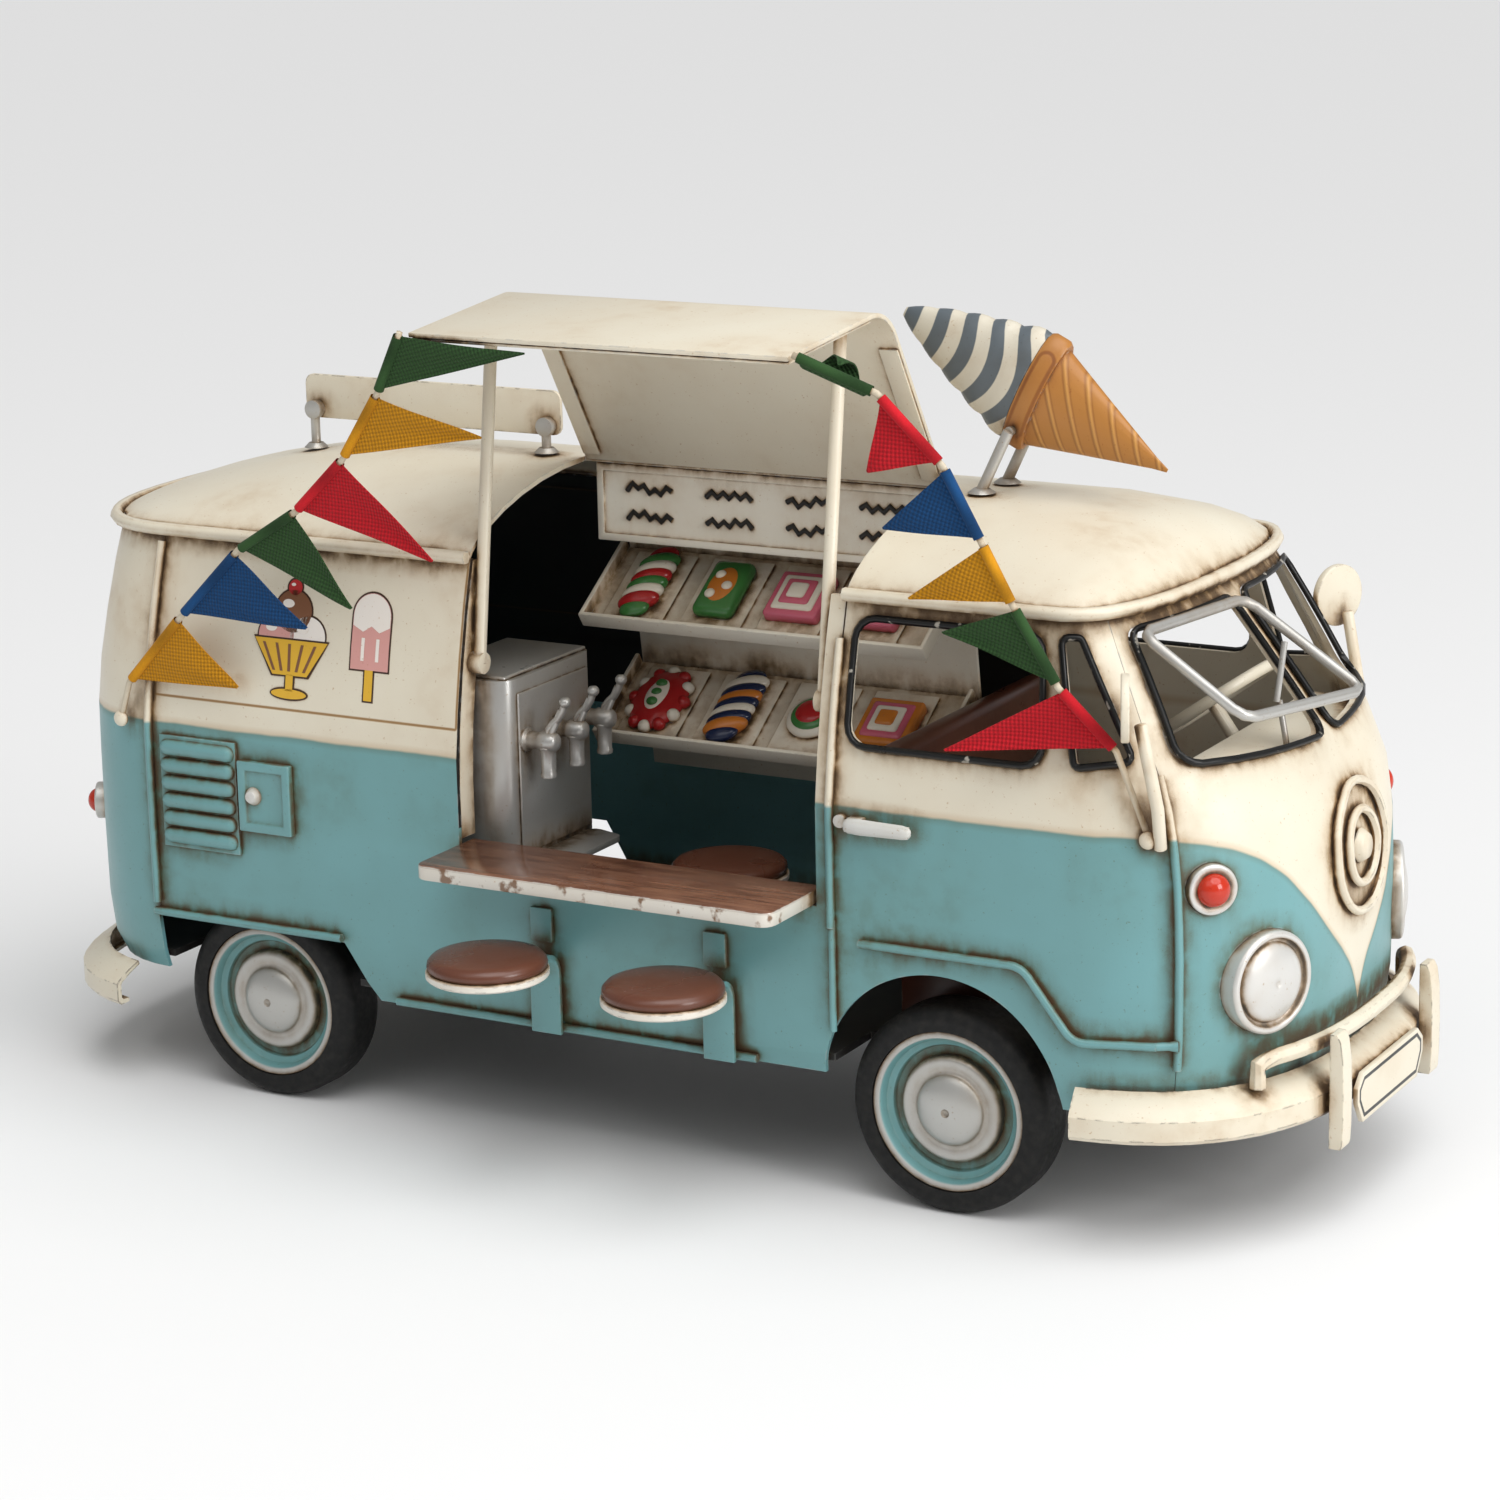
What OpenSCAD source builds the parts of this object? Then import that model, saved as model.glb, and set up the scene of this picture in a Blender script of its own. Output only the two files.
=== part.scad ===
// Painted tinplate model of an ice cream bus with an open serving hatch.
// +X points forward, +Y to the left of the bus, +Z up. The origin lies on the ground, midway
// between the two axles.

/* [Body shell] */
// Thickness of the body sheet
wall = 1; // [0.8:0.1:1.4]
// Half the width of the body at the belt line
body_half_w = 53; // [52:0.5:54]
// Half the width of the body at the roof gutter
gutter_half_w = 45; // [44:0.5:46]
// Foremost point of the nose
nose_x = 145; // [144:0.5:146]
// Rearmost point of the tail
tail_x = -137; // [-138:0.5:-136]
// Front of the body at the roof gutter
screen_top_x = 115; // [114:0.5:116]
// Rear of the body at the roof gutter
tail_top_x = -130; // [-131:0.5:-129]
// Height of the bottom edge of the body
sill_z = 26; // [25.5:0.5:26.5]
// Height of the line between the two colours
belt_z = 80; // [79:0.5:81]
// Height of the lower edge of the windscreen frame
screen_base_z = 90; // [89:0.5:91]
// Height of the roof gutter
gutter_z = 120; // [119:0.5:121]
// Rise of the roof above the gutter
roof_rise = 12.5; // [11.5:0.5:13.5]
// How square the rounded ends are in plan, 2 is an ellipse
squareness = 2.6; // [2.5:0.05:2.7]

/* [Serving hatch] */
// Rear edge of the hatch
hatch_rear_x = -28; // [-29:0.5:-27]
// Front edge of the hatch
hatch_front_x = 54; // [53:0.5:54.5]
// Height of the lower edge of the hatch
hatch_z = 60; // [59:0.5:61]
// Depth of the counter outside the body
counter_depth = 18; // [16:0.5:20]
// Thickness of the counter board
counter_t = 3; // [2.5:0.5:4]
// Length of the straight back of the awning above its hinge
awning_back_len = 39; // [37:0.5:41]
// Length of the flat front of the awning
awning_flat_len = 34; // [32:0.5:36]
// Inner radius of the awning bend
awning_bend_r = 10; // [9:0.5:11]
// Diameter of the prop rods
prop_d = 2.6; // [2:0.2:3]

/* [Wheels] */
// Distance between the axles
wheelbase = 160; // [159:0.5:161]
// Outer radius of a tyre
tyre_r = 21; // [20.5:0.5:21.5]
// Width of a tyre
tyre_w = 12; // [11:0.5:12]
// Outer radius of a wheel rim
rim_r = 16.1; // [15.8:0.1:16.4]
// How far the outer tyre face lies inside the widest part of the body
tyre_inset = 3; // [2.5:0.5:3.5]
// Diameter of an axle rod
axle_d = 3; // [2.6:0.2:3.4]
// Radial running clearance of a wheel on its axle
axle_clear = 0.05; // [0.03:0.01:0.08]

/* [Front] */
// Radius of a headlight
lamp_r = 10; // [9:0.5:10.5]
// Distance of a headlight from the side of the body
lamp_inset = 19.5; // [18.5:0.5:20.5]
// Height of the headlights
lamp_z = 51; // [50:0.5:52]
// Radius of the larger nose ring
nose_ring_r = 13.5; // [12.5:0.5:14.5]
// Height of the nose rings
nose_ring_z = 69.5; // [68.5:0.5:70.5]
// Height of the bottom edge of the front bumper
bumper_z = 23; // [22.5:0.5:23.5]
// Height of the bottom edge of the rear bumper
rear_bumper_z = 18; // [17.5:0.5:19]
// Distance of an overrider from the middle of the bus
overrider_y = 24.5; // [24:0.5:25.5]

/* [Roof signs] */
// Length of the sign board
sign_len = 65; // [60:1:66]
// Height of the sign board
sign_h = 9.5; // [8:0.5:11]
// Length of the wafer cone
wafer_len = 33; // [31:1:35]
// Largest width of the wafer cone
wafer_w = 25; // [23:1:26]

/* [Hidden] */
$fn = 48;

// Distance of the outer tyre face from the middle of the bus
tyre_face_y = body_half_w - tyre_inset;
// Gap between pieces that are soldered face to face
seat = 0.1;
// Half the gap between two panels, along the outline
seam = 0.08;
// Where the straight sides end and the rounded ends begin
curve_front_x = 100;
curve_rear_x = -100;
// Outline stations where panels meet: door to nose, rear corner to side
nose_u = 59;
tail_u = 194;
// Rear edge of the cab door
door_x = 57.5;

function mix(a, b, t) = a + (b - a) * t;
function unit(v) = v / norm(v);
function flat(lists) = [for (l = lists) each l];

// Body sections from the sill to the gutter: height, half width, front x, rear x
screen_half_w = body_half_w - 1.3;
screen_x = nose_x - 6.6;
screen_rear_x = tail_x + 1.2;
levels = [
  [sill_z, body_half_w - 1.5, nose_x - 4, tail_x + 4],
  [sill_z + 4, body_half_w - 0.5, nose_x - 1.6, tail_x + 1.4],
  [sill_z + 12, body_half_w, nose_x - 0.4, tail_x + 0.3],
  [belt_z - 25, body_half_w, nose_x, tail_x],
  [belt_z - 10, body_half_w, nose_x - 0.6, tail_x + 0.1],
  [belt_z, body_half_w, nose_x - 2.2, tail_x + 0.4],
  [screen_base_z, screen_half_w, screen_x, screen_rear_x],
  [mix(screen_base_z, gutter_z, 0.35), mix(screen_half_w, gutter_half_w, 0.28),
    mix(screen_x, screen_top_x, 0.34), mix(screen_rear_x, tail_top_x, 0.3)],
  [mix(screen_base_z, gutter_z, 0.7), mix(screen_half_w, gutter_half_w, 0.63),
    mix(screen_x, screen_top_x, 0.69), mix(screen_rear_x, tail_top_x, 0.65)],
  [gutter_z, gutter_half_w, screen_top_x, tail_top_x]
];
half_col = [for (l = levels) [l[0], l[1]]];
front_col = [for (l = levels) [l[0], l[2]]];
rear_col = [for (l = levels) [l[0], l[3]]];
function half_w(z) = lookup(z, half_col);
function front_x(z) = lookup(z, front_col);
function rear_x(z) = lookup(z, rear_col);

// Point of the body outline at height z, moved out by d. u is 0 at the middle of the nose, 90 and
// 190 at the ends of the left side, 280 at the middle of the tail; negative u is the right side.
function outline(u, z, d = 0) =
  let (
    fold = u > 280 ? 560 - u : abs(u),
    side = (u < 0 || u > 280) ? -1 : 1,
    half = half_w(z) + d,
    power = 2 / squareness,
    turn = fold <= 90 ? fold : 280 - fold
  )
  fold > 90 && fold < 190
    ? [mix(curve_front_x, curve_rear_x, (fold - 90) / 100), side * half, z]
    : [
        fold <= 90
          ? curve_front_x + (front_x(z) + d - curve_front_x) * pow(cos(turn), power)
          : curve_rear_x + (rear_x(z) - d - curve_rear_x) * pow(cos(turn), power),
        side * half * pow(sin(turn), power),
        z
      ];
// Station of a point on the straight side
function side_u(x) = 90 + 100 * (curve_front_x - x) / (curve_front_x - curve_rear_x);
// Distance of the body surface from the middle plane at a place along its length
function surf_y(x, z, d = 0) =
  let (
    reach = x > curve_front_x ? (x - curve_front_x) / (front_x(z) + d - curve_front_x)
      : x < curve_rear_x ? (x - curve_rear_x) / (rear_x(z) - d - curve_rear_x) : 0
  )
  (half_w(z) + d) * pow(1 - pow(reach, squareness), 1 / squareness);
// Front of the body surface at a place across its width
function surf_x(y, z, d = 0) =
  curve_front_x + (front_x(z) + d - curve_front_x)
    * pow(1 - pow(abs(y) / (half_w(z) + d), squareness), 1 / squareness);

// Triangles that close a row of rings with as many points each
function skin_faces(rings, n, looped) = concat(
  [
    for (i = [0 : rings - (looped ? 1 : 2)], j = [0 : n - 1], half = [0, 1])
      let (
        a = i * n + j,
        b = i * n + (j + 1) % n,
        c = ((i + 1) % rings) * n + (j + 1) % n,
        d = ((i + 1) % rings) * n + j
      )
      half == 0 ? [a, b, c] : [a, c, d]
  ],
  looped ? [] : [
    for (j = [0 : n / 2 - 2], half = [0, 1], last = [0, 1])
      let (
        o = last * (rings - 1) * n,
        tri = half == 0 ? [j, j + 1, n - 1 - j] : [j + 1, n - 2 - j, n - 1 - j]
      )
      [for (k = last == 1 ? [0, 1, 2] : [2, 1, 0]) o + tri[k]]
  ]
);
module skin(rings, looped = false) {
  polyhedron(points = flat(rings), faces = skin_faces(len(rings), len(rings[0]), looped));
}

// Round tube of n sides along a path; up is a direction that the path never takes
module tube(path, r, n = 6, up = [0, 0, 1], looped = false) {
  last = len(path) - 1;
  skin([
    for (i = [0 : last])
      let (
        before = i > 0 ? path[i - 1] : (looped ? path[last] : path[0]),
        after = i < last ? path[i + 1] : (looped ? path[0] : path[last]),
        along = unit(after - before),
        across = unit(cross(along, up)),
        over = cross(along, across)
      )
      [for (j = [n - 1 : -1 : 0]) path[i] + r * (cos(360 * j / n) * across + sin(360 * j / n) * over)]
  ], looped);
}

// Straight rod between two points
module rod(p, q, d) {
  v = q - p;
  translate(p)
    rotate([0, acos(v[2] / norm(v)), atan2(v[1], v[0])])
      cylinder(d = d, h = norm(v));
}

// Closed outline with every corner rounded by k short steps
function round_corners(pts, r, k = 4) = [
  for (i = [0 : len(pts) - 1])
    let (
      p = pts[i],
      to_last = unit(pts[(i + len(pts) - 1) % len(pts)] - p),
      to_next = unit(pts[(i + 1) % len(pts)] - p),
      half = acos(max(-1, min(1, to_last * to_next))) / 2,
      middle = p + unit(to_last + to_next) * r / sin(half),
      start = p + to_last * r / tan(half) - middle,
      end = p + to_next * r / tan(half) - middle,
      from = atan2(start[1], start[0]),
      turn = (atan2(end[1], end[0]) - from + 540) % 360 - 180
    )
    for (j = [0 : k]) middle + r * [cos(from + turn * j / k), sin(from + turn * j / k)]
];
// Closed outline with long edges divided into steps
function divided(pts, step) = [
  for (i = [0 : len(pts) - 1])
    let (q = pts[(i + 1) % len(pts)], n = max(1, ceil(norm(q - pts[i]) / step)))
    for (k = [0 : n - 1]) mix(pts[i], q, k / n)
];

// Prism through the sides of the bus from an outline in x and z
module side_cut(pts, side) {
  translate([0, side > 0 ? 80 : -30, 0])
    rotate([90, 0, 0])
      linear_extrude(50)
        polygon(pts);
}
// Prism through an end of the bus from an outline in y and z
module end_cut(pts, x, length) {
  translate([x, 0, 0])
    rotate([90, 0, 90])
      linear_extrude(length)
        polygon(pts);
}

// Window outlines: door and quarter light in x and z, windscreen pane and tail window in y and z
door_window = round_corners([
  [door_x + 3, screen_base_z + 2.5], [101.6, screen_base_z + 2.5],
  [99.6, gutter_z - 3.5], [door_x + 3, gutter_z - 3.5]
], 4);
quarter_window = round_corners([
  [107.8, screen_base_z + 3], [118.4, screen_base_z + 4.5],
  [106.6, gutter_z - 3.6], [103, gutter_z - 3.6]
], 1.2, 3);
screen_window = round_corners([
  [2.4, screen_base_z + 1.5], [screen_half_w - 8.7, screen_base_z + 3.5],
  [gutter_half_w - 6.8, gutter_z - 3], [2.4, gutter_z - 3]
], 3);
tail_window = round_corners([
  [-24, screen_base_z + 3], [24, screen_base_z + 3], [21, gutter_z - 8], [-21, gutter_z - 8]
], 5);
function mirrored(pts) = [for (p = pts) [-p[0], p[1]]];

// Wheel arches: a round one in front, a flat-topped one behind
front_arch_r = tyre_r + 4.4;
front_arch_z = tyre_r + 3;
rear_arch_top = 38;
axle_x = wheelbase / 2;
rear_arch = [
  [-axle_x - 24.5, sill_z - 3], [-axle_x - 25.5, rear_arch_top], [-axle_x + 22.5, rear_arch_top],
  [-axle_x + 32, sill_z - 3]
];
module front_arch_cut() {
  translate([axle_x, 80, front_arch_z])
    rotate([90, 0, 0])
      cylinder(r = front_arch_r, h = 160);
}

// Curved sheet between two outline stations, as high as the body
module panel(stations) {
  heights = [for (l = levels) l[0]];
  rows = len(heights);
  skin([
    for (u = stations) concat(
      [for (z = heights) outline(u, z)],
      [for (i = [rows - 1 : -1 : 0]) outline(u, heights[i], -wall)]
    )
  ]);
}
function stations(from, to, count) = [for (i = [0 : count]) mix(from, to, i / count)];

// Places of the lamps on the nose: distance from the middle, height, radius, turn outwards
lamp_places = [
  [body_half_w - lamp_inset, lamp_z, lamp_r, 24],
  [body_half_w - 10, belt_z - 9.5, 4.9, 44]
];
module on_nose(place, side) {
  translate([surf_x(place[0], place[1]), side * place[0], place[1]])
    rotate([0, 90, side * place[3]])
      children();
}

// The front panel wraps round the nose and holds both windscreen openings
module nose_panel() {
  color("ivory")
    difference() {
      panel(stations(-nose_u + seam, nose_u - seam, 20));
      end_cut(screen_window, 100, 60);
      end_cut(mirrored(screen_window), 100, 60);
      for (place = lamp_places, side = [-1, 1])
        on_nose(place, side)
          translate([0, 0, -10])
            cylinder(r = place[2] + seat, h = 20);
    }
}

// A cab door panel with its window and quarter light, over the front wheel
module door(side) {
  rear_u = side_u(door_x) - seam;
  front_u = nose_u + seam;
  us = [front_u, 65, 71, 77, 83, 90, 100, rear_u];
  difference() {
    panel(side > 0 ? us : [for (i = [len(us) - 1 : -1 : 0]) -us[i]]);
    side_cut(door_window, side);
    side_cut(quarter_window, side);
    front_arch_cut();
  }
}
module door_right() {
  color("powderblue") door(-1);
}
module door_left() {
  color("powderblue") door(1);
}

// A side panel between the door and the rear corner
module side_panel(side) {
  us = [side_u(door_x) + seam, side_u(0), side_u(curve_rear_x), tail_u - seam];
  difference() {
    panel(side > 0 ? us : [for (i = [len(us) - 1 : -1 : 0]) -us[i]]);
    side_cut(rear_arch, side);
    front_arch_cut();
  }
}
module side_right() {
  color("powderblue")
    difference() {
      side_panel(-1);
      translate([hatch_rear_x, -80, hatch_z])
        cube([hatch_front_x - hatch_rear_x, 60, 80]);
    }
}
module side_left() {
  color("powderblue") side_panel(1);
}

// The tail panel wraps round both rear corners
module rear_panel() {
  color("powderblue")
    difference() {
      panel(stations(tail_u + seam, 560 - tail_u - seam, 26));
      end_cut(tail_window, -150, 60);
      side_cut(rear_arch, -1);
      side_cut(rear_arch, 1);
    }
}

// Roof sheet: z rises from the edge to the middle, and falls towards both ends
roof_z = gutter_z + wall + seat;
roof_fall_front = [70, 4];
roof_fall_rear = [-55, 2];
function roof_end(x) =
  x > roof_fall_front[0]
    ? pow((x - roof_fall_front[0]) / (screen_top_x - roof_fall_front[0]), roof_fall_front[1])
    : x < roof_fall_rear[0]
      ? pow((x - roof_fall_rear[0]) / (tail_top_x - roof_fall_rear[0]), roof_fall_rear[1]) : 0;
function roof_height(x, v) = roof_z + roof_rise * pow(max(0, (1 - v * v) * (1 - roof_end(x))), 0.75);
function roof_point(x, v, d) = [x, surf_y(x, gutter_z) * v, roof_height(x, v) - d];
module roof() {
  first_u = 8;
  ends = [for (u = [first_u, 15, 24, 34, 46, 60, 75]) u];
  xs = concat(
    [for (u = ends) outline(u, gutter_z)[0]],
    [curve_front_x, 85, 70, 40, 0, -40, -55, -70, -85, curve_rear_x],
    [for (i = [len(ends) - 1 : -1 : 0]) outline(280 - ends[i], gutter_z)[0]]
  );
  vs = [for (i = [-8 : 8]) sin(90 * i / 8)];
  color("ivory")
    difference() {
      skin([
        for (x = xs) concat(
          [for (i = [len(vs) - 1 : -1 : 0]) roof_point(x, vs[i], 0)],
          [for (v = vs) roof_point(x, v, wall)]
        )
      ]);
      translate([hatch_rear_x, -80, gutter_z - 5])
        cube([door_x - hatch_rear_x, 80, 40]);
    }
}

// Awning: the sheet cut from the roof, turned up on the roof's ridge and bent over forwards.
// Its profile lies in y and z: a straight back, a bend and a flat front.
awning_lean = 32;
awning_dip = 5.5;
awning_hem = 4.5;
awning_x0 = hatch_rear_x + 0.8;
awning_x1 = door_x - 1;
ridge_z = roof_z + roof_rise;
awning_foot = [-0.2, ridge_z + seat];
back_dir = [-sin(awning_lean), cos(awning_lean)];
flat_dir = [-cos(awning_dip), -sin(awning_dip)];
back_out = [cos(awning_lean), sin(awning_lean)];
flat_out = [-sin(awning_dip), cos(awning_dip)];
bend_middle = awning_foot + awning_back_len * back_dir - (awning_bend_r + wall) * back_out;
awning_edge = bend_middle + awning_bend_r * flat_out + awning_flat_len * flat_dir;
module awning_profile(t) {
  union() {
    polygon([
      awning_foot - wall * back_out, awning_foot - (wall - t) * back_out,
      awning_foot + (awning_back_len + 0.05) * back_dir - (wall - t) * back_out,
      awning_foot + (awning_back_len + 0.05) * back_dir - wall * back_out
    ]);
    polygon([
      bend_middle + awning_bend_r * flat_out - 0.05 * flat_dir,
      bend_middle + (awning_bend_r + t) * flat_out - 0.05 * flat_dir,
      bend_middle + (awning_bend_r + t) * flat_out + awning_flat_len * flat_dir, awning_edge
    ]);
    intersection() {
      translate(bend_middle)
        difference() {
          circle(r = awning_bend_r + t);
          circle(r = awning_bend_r);
        }
      polygon([
        bend_middle, bend_middle + 40 * back_out, bend_middle + 40 * (back_out + flat_out),
        bend_middle + 40 * flat_out
      ]);
    }
  }
}
module awning() {
  color("ivory")
    translate([awning_x0, 0, 0])
      rotate([90, 0, 90])
        linear_extrude(awning_x1 - awning_x0)
          awning_profile(wall);
}

// Rolled gutter round the roof's edge, open over the hatch
gutter_r = 1.4;
module gutter() {
  us = concat(
    [-side_u(door_x), -95, -84, -76, -68, -60], [for (u = [-52 : 8 : 52]) u],
    [60, 68, 76, 84, 95, 150, 185, 196, 204], [for (u = [212 : 8.5 : 348]) u],
    [356, 364, 375, 560 - side_u(hatch_rear_x)]
  );
  color("ivory")
    tube([for (u = us) outline(u, gutter_z, gutter_r + seat) + [0, 0, 0.6]], gutter_r);
}

// Soldered wire beads on the seams, given as paths on the body's surface
bead_r = 0.9;
function bead_line(u, z0, z1, n) = [for (i = [0 : n]) outline(u, mix(z0, z1, i / n), bead_r + seat)];
// Beads past the end of the straight side stand off a little more, because the surface slants there
function bead_off(x) = bead_r + seat + (x > curve_front_x ? 0.7 * pow((x - curve_front_x) / 25, 2) : 0);
function on_side(pts) = [for (p = pts) [p[0], surf_y(p[0], p[1], bead_off(p[0])), p[1]]];
arch_bead = divided(round_corners([
  [axle_x - 21.4, 54], [axle_x + 18, 54], [axle_x + 28.5, 40.5],
  [axle_x + 49, 41], [axle_x + 49, 60], [axle_x - 21.4, 60]
], 5, 4), 14);
module seam_beads() {
  arch_steps = [for (p = arch_bead) if (p[1] < 54.1 && p[0] > axle_x - 21 && p[0] < axle_x + 45) p];
  color("powderblue")
    for (side = [0, 1])
      mirror([0, side, 0]) {
        tube(bead_line(nose_u, sill_z + 10, screen_base_z + 2, 8), bead_r, 6, [1, 0, 0]);
        tube(bead_line(tail_u, rear_arch_top + 3.2, gutter_z - 2, 8), bead_r, 6, [1, 0, 0]);
        tube(on_side([for (x = [-axle_x - 25.5 : 8 : -axle_x + 22.5]) [x, rear_arch_top + 1.2]]), bead_r);
        tube(on_side([for (z = [54 + 2.4 : 8 : gutter_z - 3]) [door_x, z]]), bead_r, 6, [1, 0, 0]);
        tube(on_side(arch_steps), bead_r, 6, [0, 1, 0]);
        tube(on_side([for (x = [-axle_x + 35 : 17 : axle_x - 27]) [x, sill_z + 1]]), bead_r);
      }
}

// Folded flanges behind the two upright edges of the hatch
post_depth = 5;
module hatch_posts() {
  heights = [for (i = [0 : 5]) mix(hatch_z + counter_t + 0.5, gutter_z - 0.5, i / 5)];
  color("ivory")
    for (x = [hatch_rear_x - wall, hatch_front_x])
      skin([
        for (z = heights)
          let (y = -half_w(z) + wall + seat)
          [[x + wall, y + post_depth, z], [x + wall, y, z], [x, y, z], [x, y + post_depth, z]]
      ]);
}

// Prop rods from bosses on the hatch flanges up to the underside of the awning
boss_z = 99;
boss_r = 2.2;
prop_top_t = 0.16;
module prop_rods() {
  boss_y = -half_w(boss_z) + wall + 3.5;
  top = bend_middle + (awning_bend_r - prop_d / 2 - 0.4) * flat_out
    + prop_top_t * awning_flat_len * flat_dir;
  color("ivory")
    for (end = [[hatch_rear_x, 1], [hatch_front_x, -1]]) {
      x = end[0] + end[1] * (seat + 1.6);
      union() {
        rod([x, boss_y, boss_z], [x, top[0], top[1]], prop_d);
        translate([end[0] + end[1] * seat, boss_y, boss_z])
          rotate([0, end[1] * 90, 0])
            cylinder(r = boss_r, h = 2.8);
      }
    }
}

// Counter board on the lower edge of the hatch, with rounded outer corners
module counter() {
  x0 = hatch_rear_x + 0.6;
  x1 = hatch_front_x - 0.6;
  y_out = -half_w(hatch_z) - counter_depth;
  color("saddlebrown")
    translate([0, 0, hatch_z + seat])
      linear_extrude(counter_t)
        polygon(concat(
          [[x1, -half_w(hatch_z) + 4], [x0, -half_w(hatch_z) + 4]],
          [
            for (p = round_corners([[x0, -40], [x0, y_out], [x1, y_out], [x1, -40]], 3))
              if (p[1] < y_out + 3.01) p
          ]
        ));
}

// Stools: place along the bus, two outside on strip brackets, one inside on a pedestal
stool_xs = [-7.5, 32.5];
stool_r = 12.2;
stool_z = 44;
stool_y = -half_w(stool_z) - 22.5;
inner_stool = [16, -20, 52];
floor_z = sill_z + 2;
floor_t = 1.5;
module seat_disc(r) {
  rotate_extrude()
    union() {
      square([r, 1.6]);
      translate([0, 1.6]) square([r - 0.6, 1.2]);
      intersection() {
        translate([0, 2.8 - 60]) circle(r = 61.2, $fn = 360);
        translate([0, 2.8]) square([r - 1.6, 3]);
      }
    }
}
module stool_seats() {
  color("saddlebrown") {
    for (x = stool_xs)
      translate([x, stool_y, stool_z])
        seat_disc(stool_r);
    translate(inner_stool)
      seat_disc(stool_r);
  }
}
// A strip bracket runs up from the sill, bends out under its seat and has a tab on the body
strip_w = 7;
strip_t = 1;
strip_bend = 5;
module stool_bracket() {
  y = half_w(sill_z + 1) + bead_r * 2 + seat * 3;
  z_top = stool_z - seat;
  rotate([90, 0, 90])
    linear_extrude(strip_w, center = true) {
      union() {
        translate([-y - strip_t, sill_z]) square([strip_t, z_top - strip_bend - sill_z]);
        translate([stool_y, z_top - strip_t]) square([-y - strip_bend - stool_y, strip_t]);
        intersection() {
          translate([-y - strip_bend, z_top - strip_bend])
            difference() {
              circle(r = strip_bend);
              circle(r = strip_bend - strip_t);
            }
          translate([-y - strip_bend, z_top - strip_bend]) square(strip_bend + strip_t);
        }
      }
    }
}
module stool_brackets() {
  tab_h = 7;
  color("powderblue") {
    for (x = stool_xs) {
      translate([x, 0, 0]) stool_bracket();
      translate([x - strip_w / 2, -half_w(stool_z) - seat - strip_t, stool_z + 1])
        cube([strip_w - 2, strip_t, tab_h]);
    }
    translate([inner_stool[0], inner_stool[1], floor_z + floor_t + seat]) {
      cylinder(r = 2, h = inner_stool[2] - seat - floor_z - floor_t - seat);
    }
  }
}

// Floor sheet inside the bottom edge, notched for the wheels
module floor_pan() {
  edge = concat(
    [for (u = [-280 : 6 : -196]) u], [for (u = [-88 : 8 : 88]) u], [for (u = [196 : 6 : 274]) u]
  );
  notch = tyre_r + 3;
  color("dimgray")
    difference() {
      translate([0, 0, floor_z])
        linear_extrude(floor_t)
          polygon([for (u = edge) let (p = outline(u, sill_z, -wall - 0.3)) [p[0], p[1]]]);
      for (x = [-axle_x, axle_x], side = [-1, 1])
        translate([x - notch, side > 0 ? tyre_face_y - tyre_w - 3 : -90, 0])
          cube([2 * notch, 90 - tyre_face_y + tyre_w + 3, 60]);
    }
}

// Axle rods in strip hangers under the floor
axle_z = tyre_r;
hanger_y = 28;
module axles() {
  color("silver")
    for (x = [-axle_x, axle_x]) {
      translate([x, tyre_face_y - tyre_w + 6.5, axle_z])
        rotate([90, 0, 0])
          cylinder(d = axle_d, h = 2 * (tyre_face_y - tyre_w + 6.5));
      for (y = [-hanger_y, hanger_y])
        difference() {
          translate([x - 5, y - 0.8, axle_z - 4])
            cube([10, 1.6, floor_z - seat - axle_z + 4]);
          translate([x, y + 5, axle_z])
            rotate([90, 0, 0])
              cylinder(d = axle_d + 2 * axle_clear, h = 10);
        }
    }
}

// Wheels: place of each by its row, columns are x and side
wheel_front_right = [axle_x, -1];
wheel_front_left = [axle_x, 1];
wheel_rear_right = [-axle_x, -1];
wheel_rear_left = [-axle_x, 1];
module at_wheel(place) {
  translate([place[0], place[1] * (tyre_face_y - tyre_w), axle_z])
    rotate([-place[1] * 90, 0, 0])
      children();
}
shoulder = 3;
module tyre() {
  bead = rim_r + seat;
  color("black")
    rotate_extrude()
      difference() {
        translate([bead, 0]) square([tyre_r - bead, tyre_w]);
        for (end = [[0, 1], [tyre_w, -1]])
          translate([tyre_r - shoulder, end[0] + end[1] * shoulder])
            difference() {
              translate([0, end[1] > 0 ? -shoulder - 1 : 0]) square(shoulder + 1);
              circle(r = shoulder);
            }
      }
}
rim_face = 8.2;
hub_bore = axle_d / 2 + axle_clear;
module rim() {
  color("powderblue")
    rotate_extrude()
      polygon([
        [hub_bore, 0.5], [4, 0.5], [4, rim_face - 1.4], [rim_r - 1, rim_face - 2.2],
        [rim_r - 1, 1], [rim_r, 1],
        [rim_r, tyre_w - 0.4], [rim_r - 1.3, tyre_w - 0.4], [rim_r - 2.1, rim_face + 1.6],
        [rim_r - 3.2, rim_face + 0.9], [rim_r - 3.6, rim_face], [hub_bore, rim_face]
      ]);
}
cap_r = 10.8;
cap_dome_r = 8.2;
module hubcap() {
  color("silver")
    translate([0, 0, rim_face + seat])
      rotate_extrude()
        union() {
          square([cap_r, 0.9]);
          translate([0, 0.9]) square([cap_r - 0.9, 0.5]);
          intersection() {
            translate([0, 1.4 + 3 - 12.7]) circle(r = 12.7);
            translate([0, 1.4]) square([cap_dome_r, 4]);
          }
        }
}
module tyre_front_right() { at_wheel(wheel_front_right) tyre(); }
module tyre_front_left() { at_wheel(wheel_front_left) tyre(); }
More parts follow.
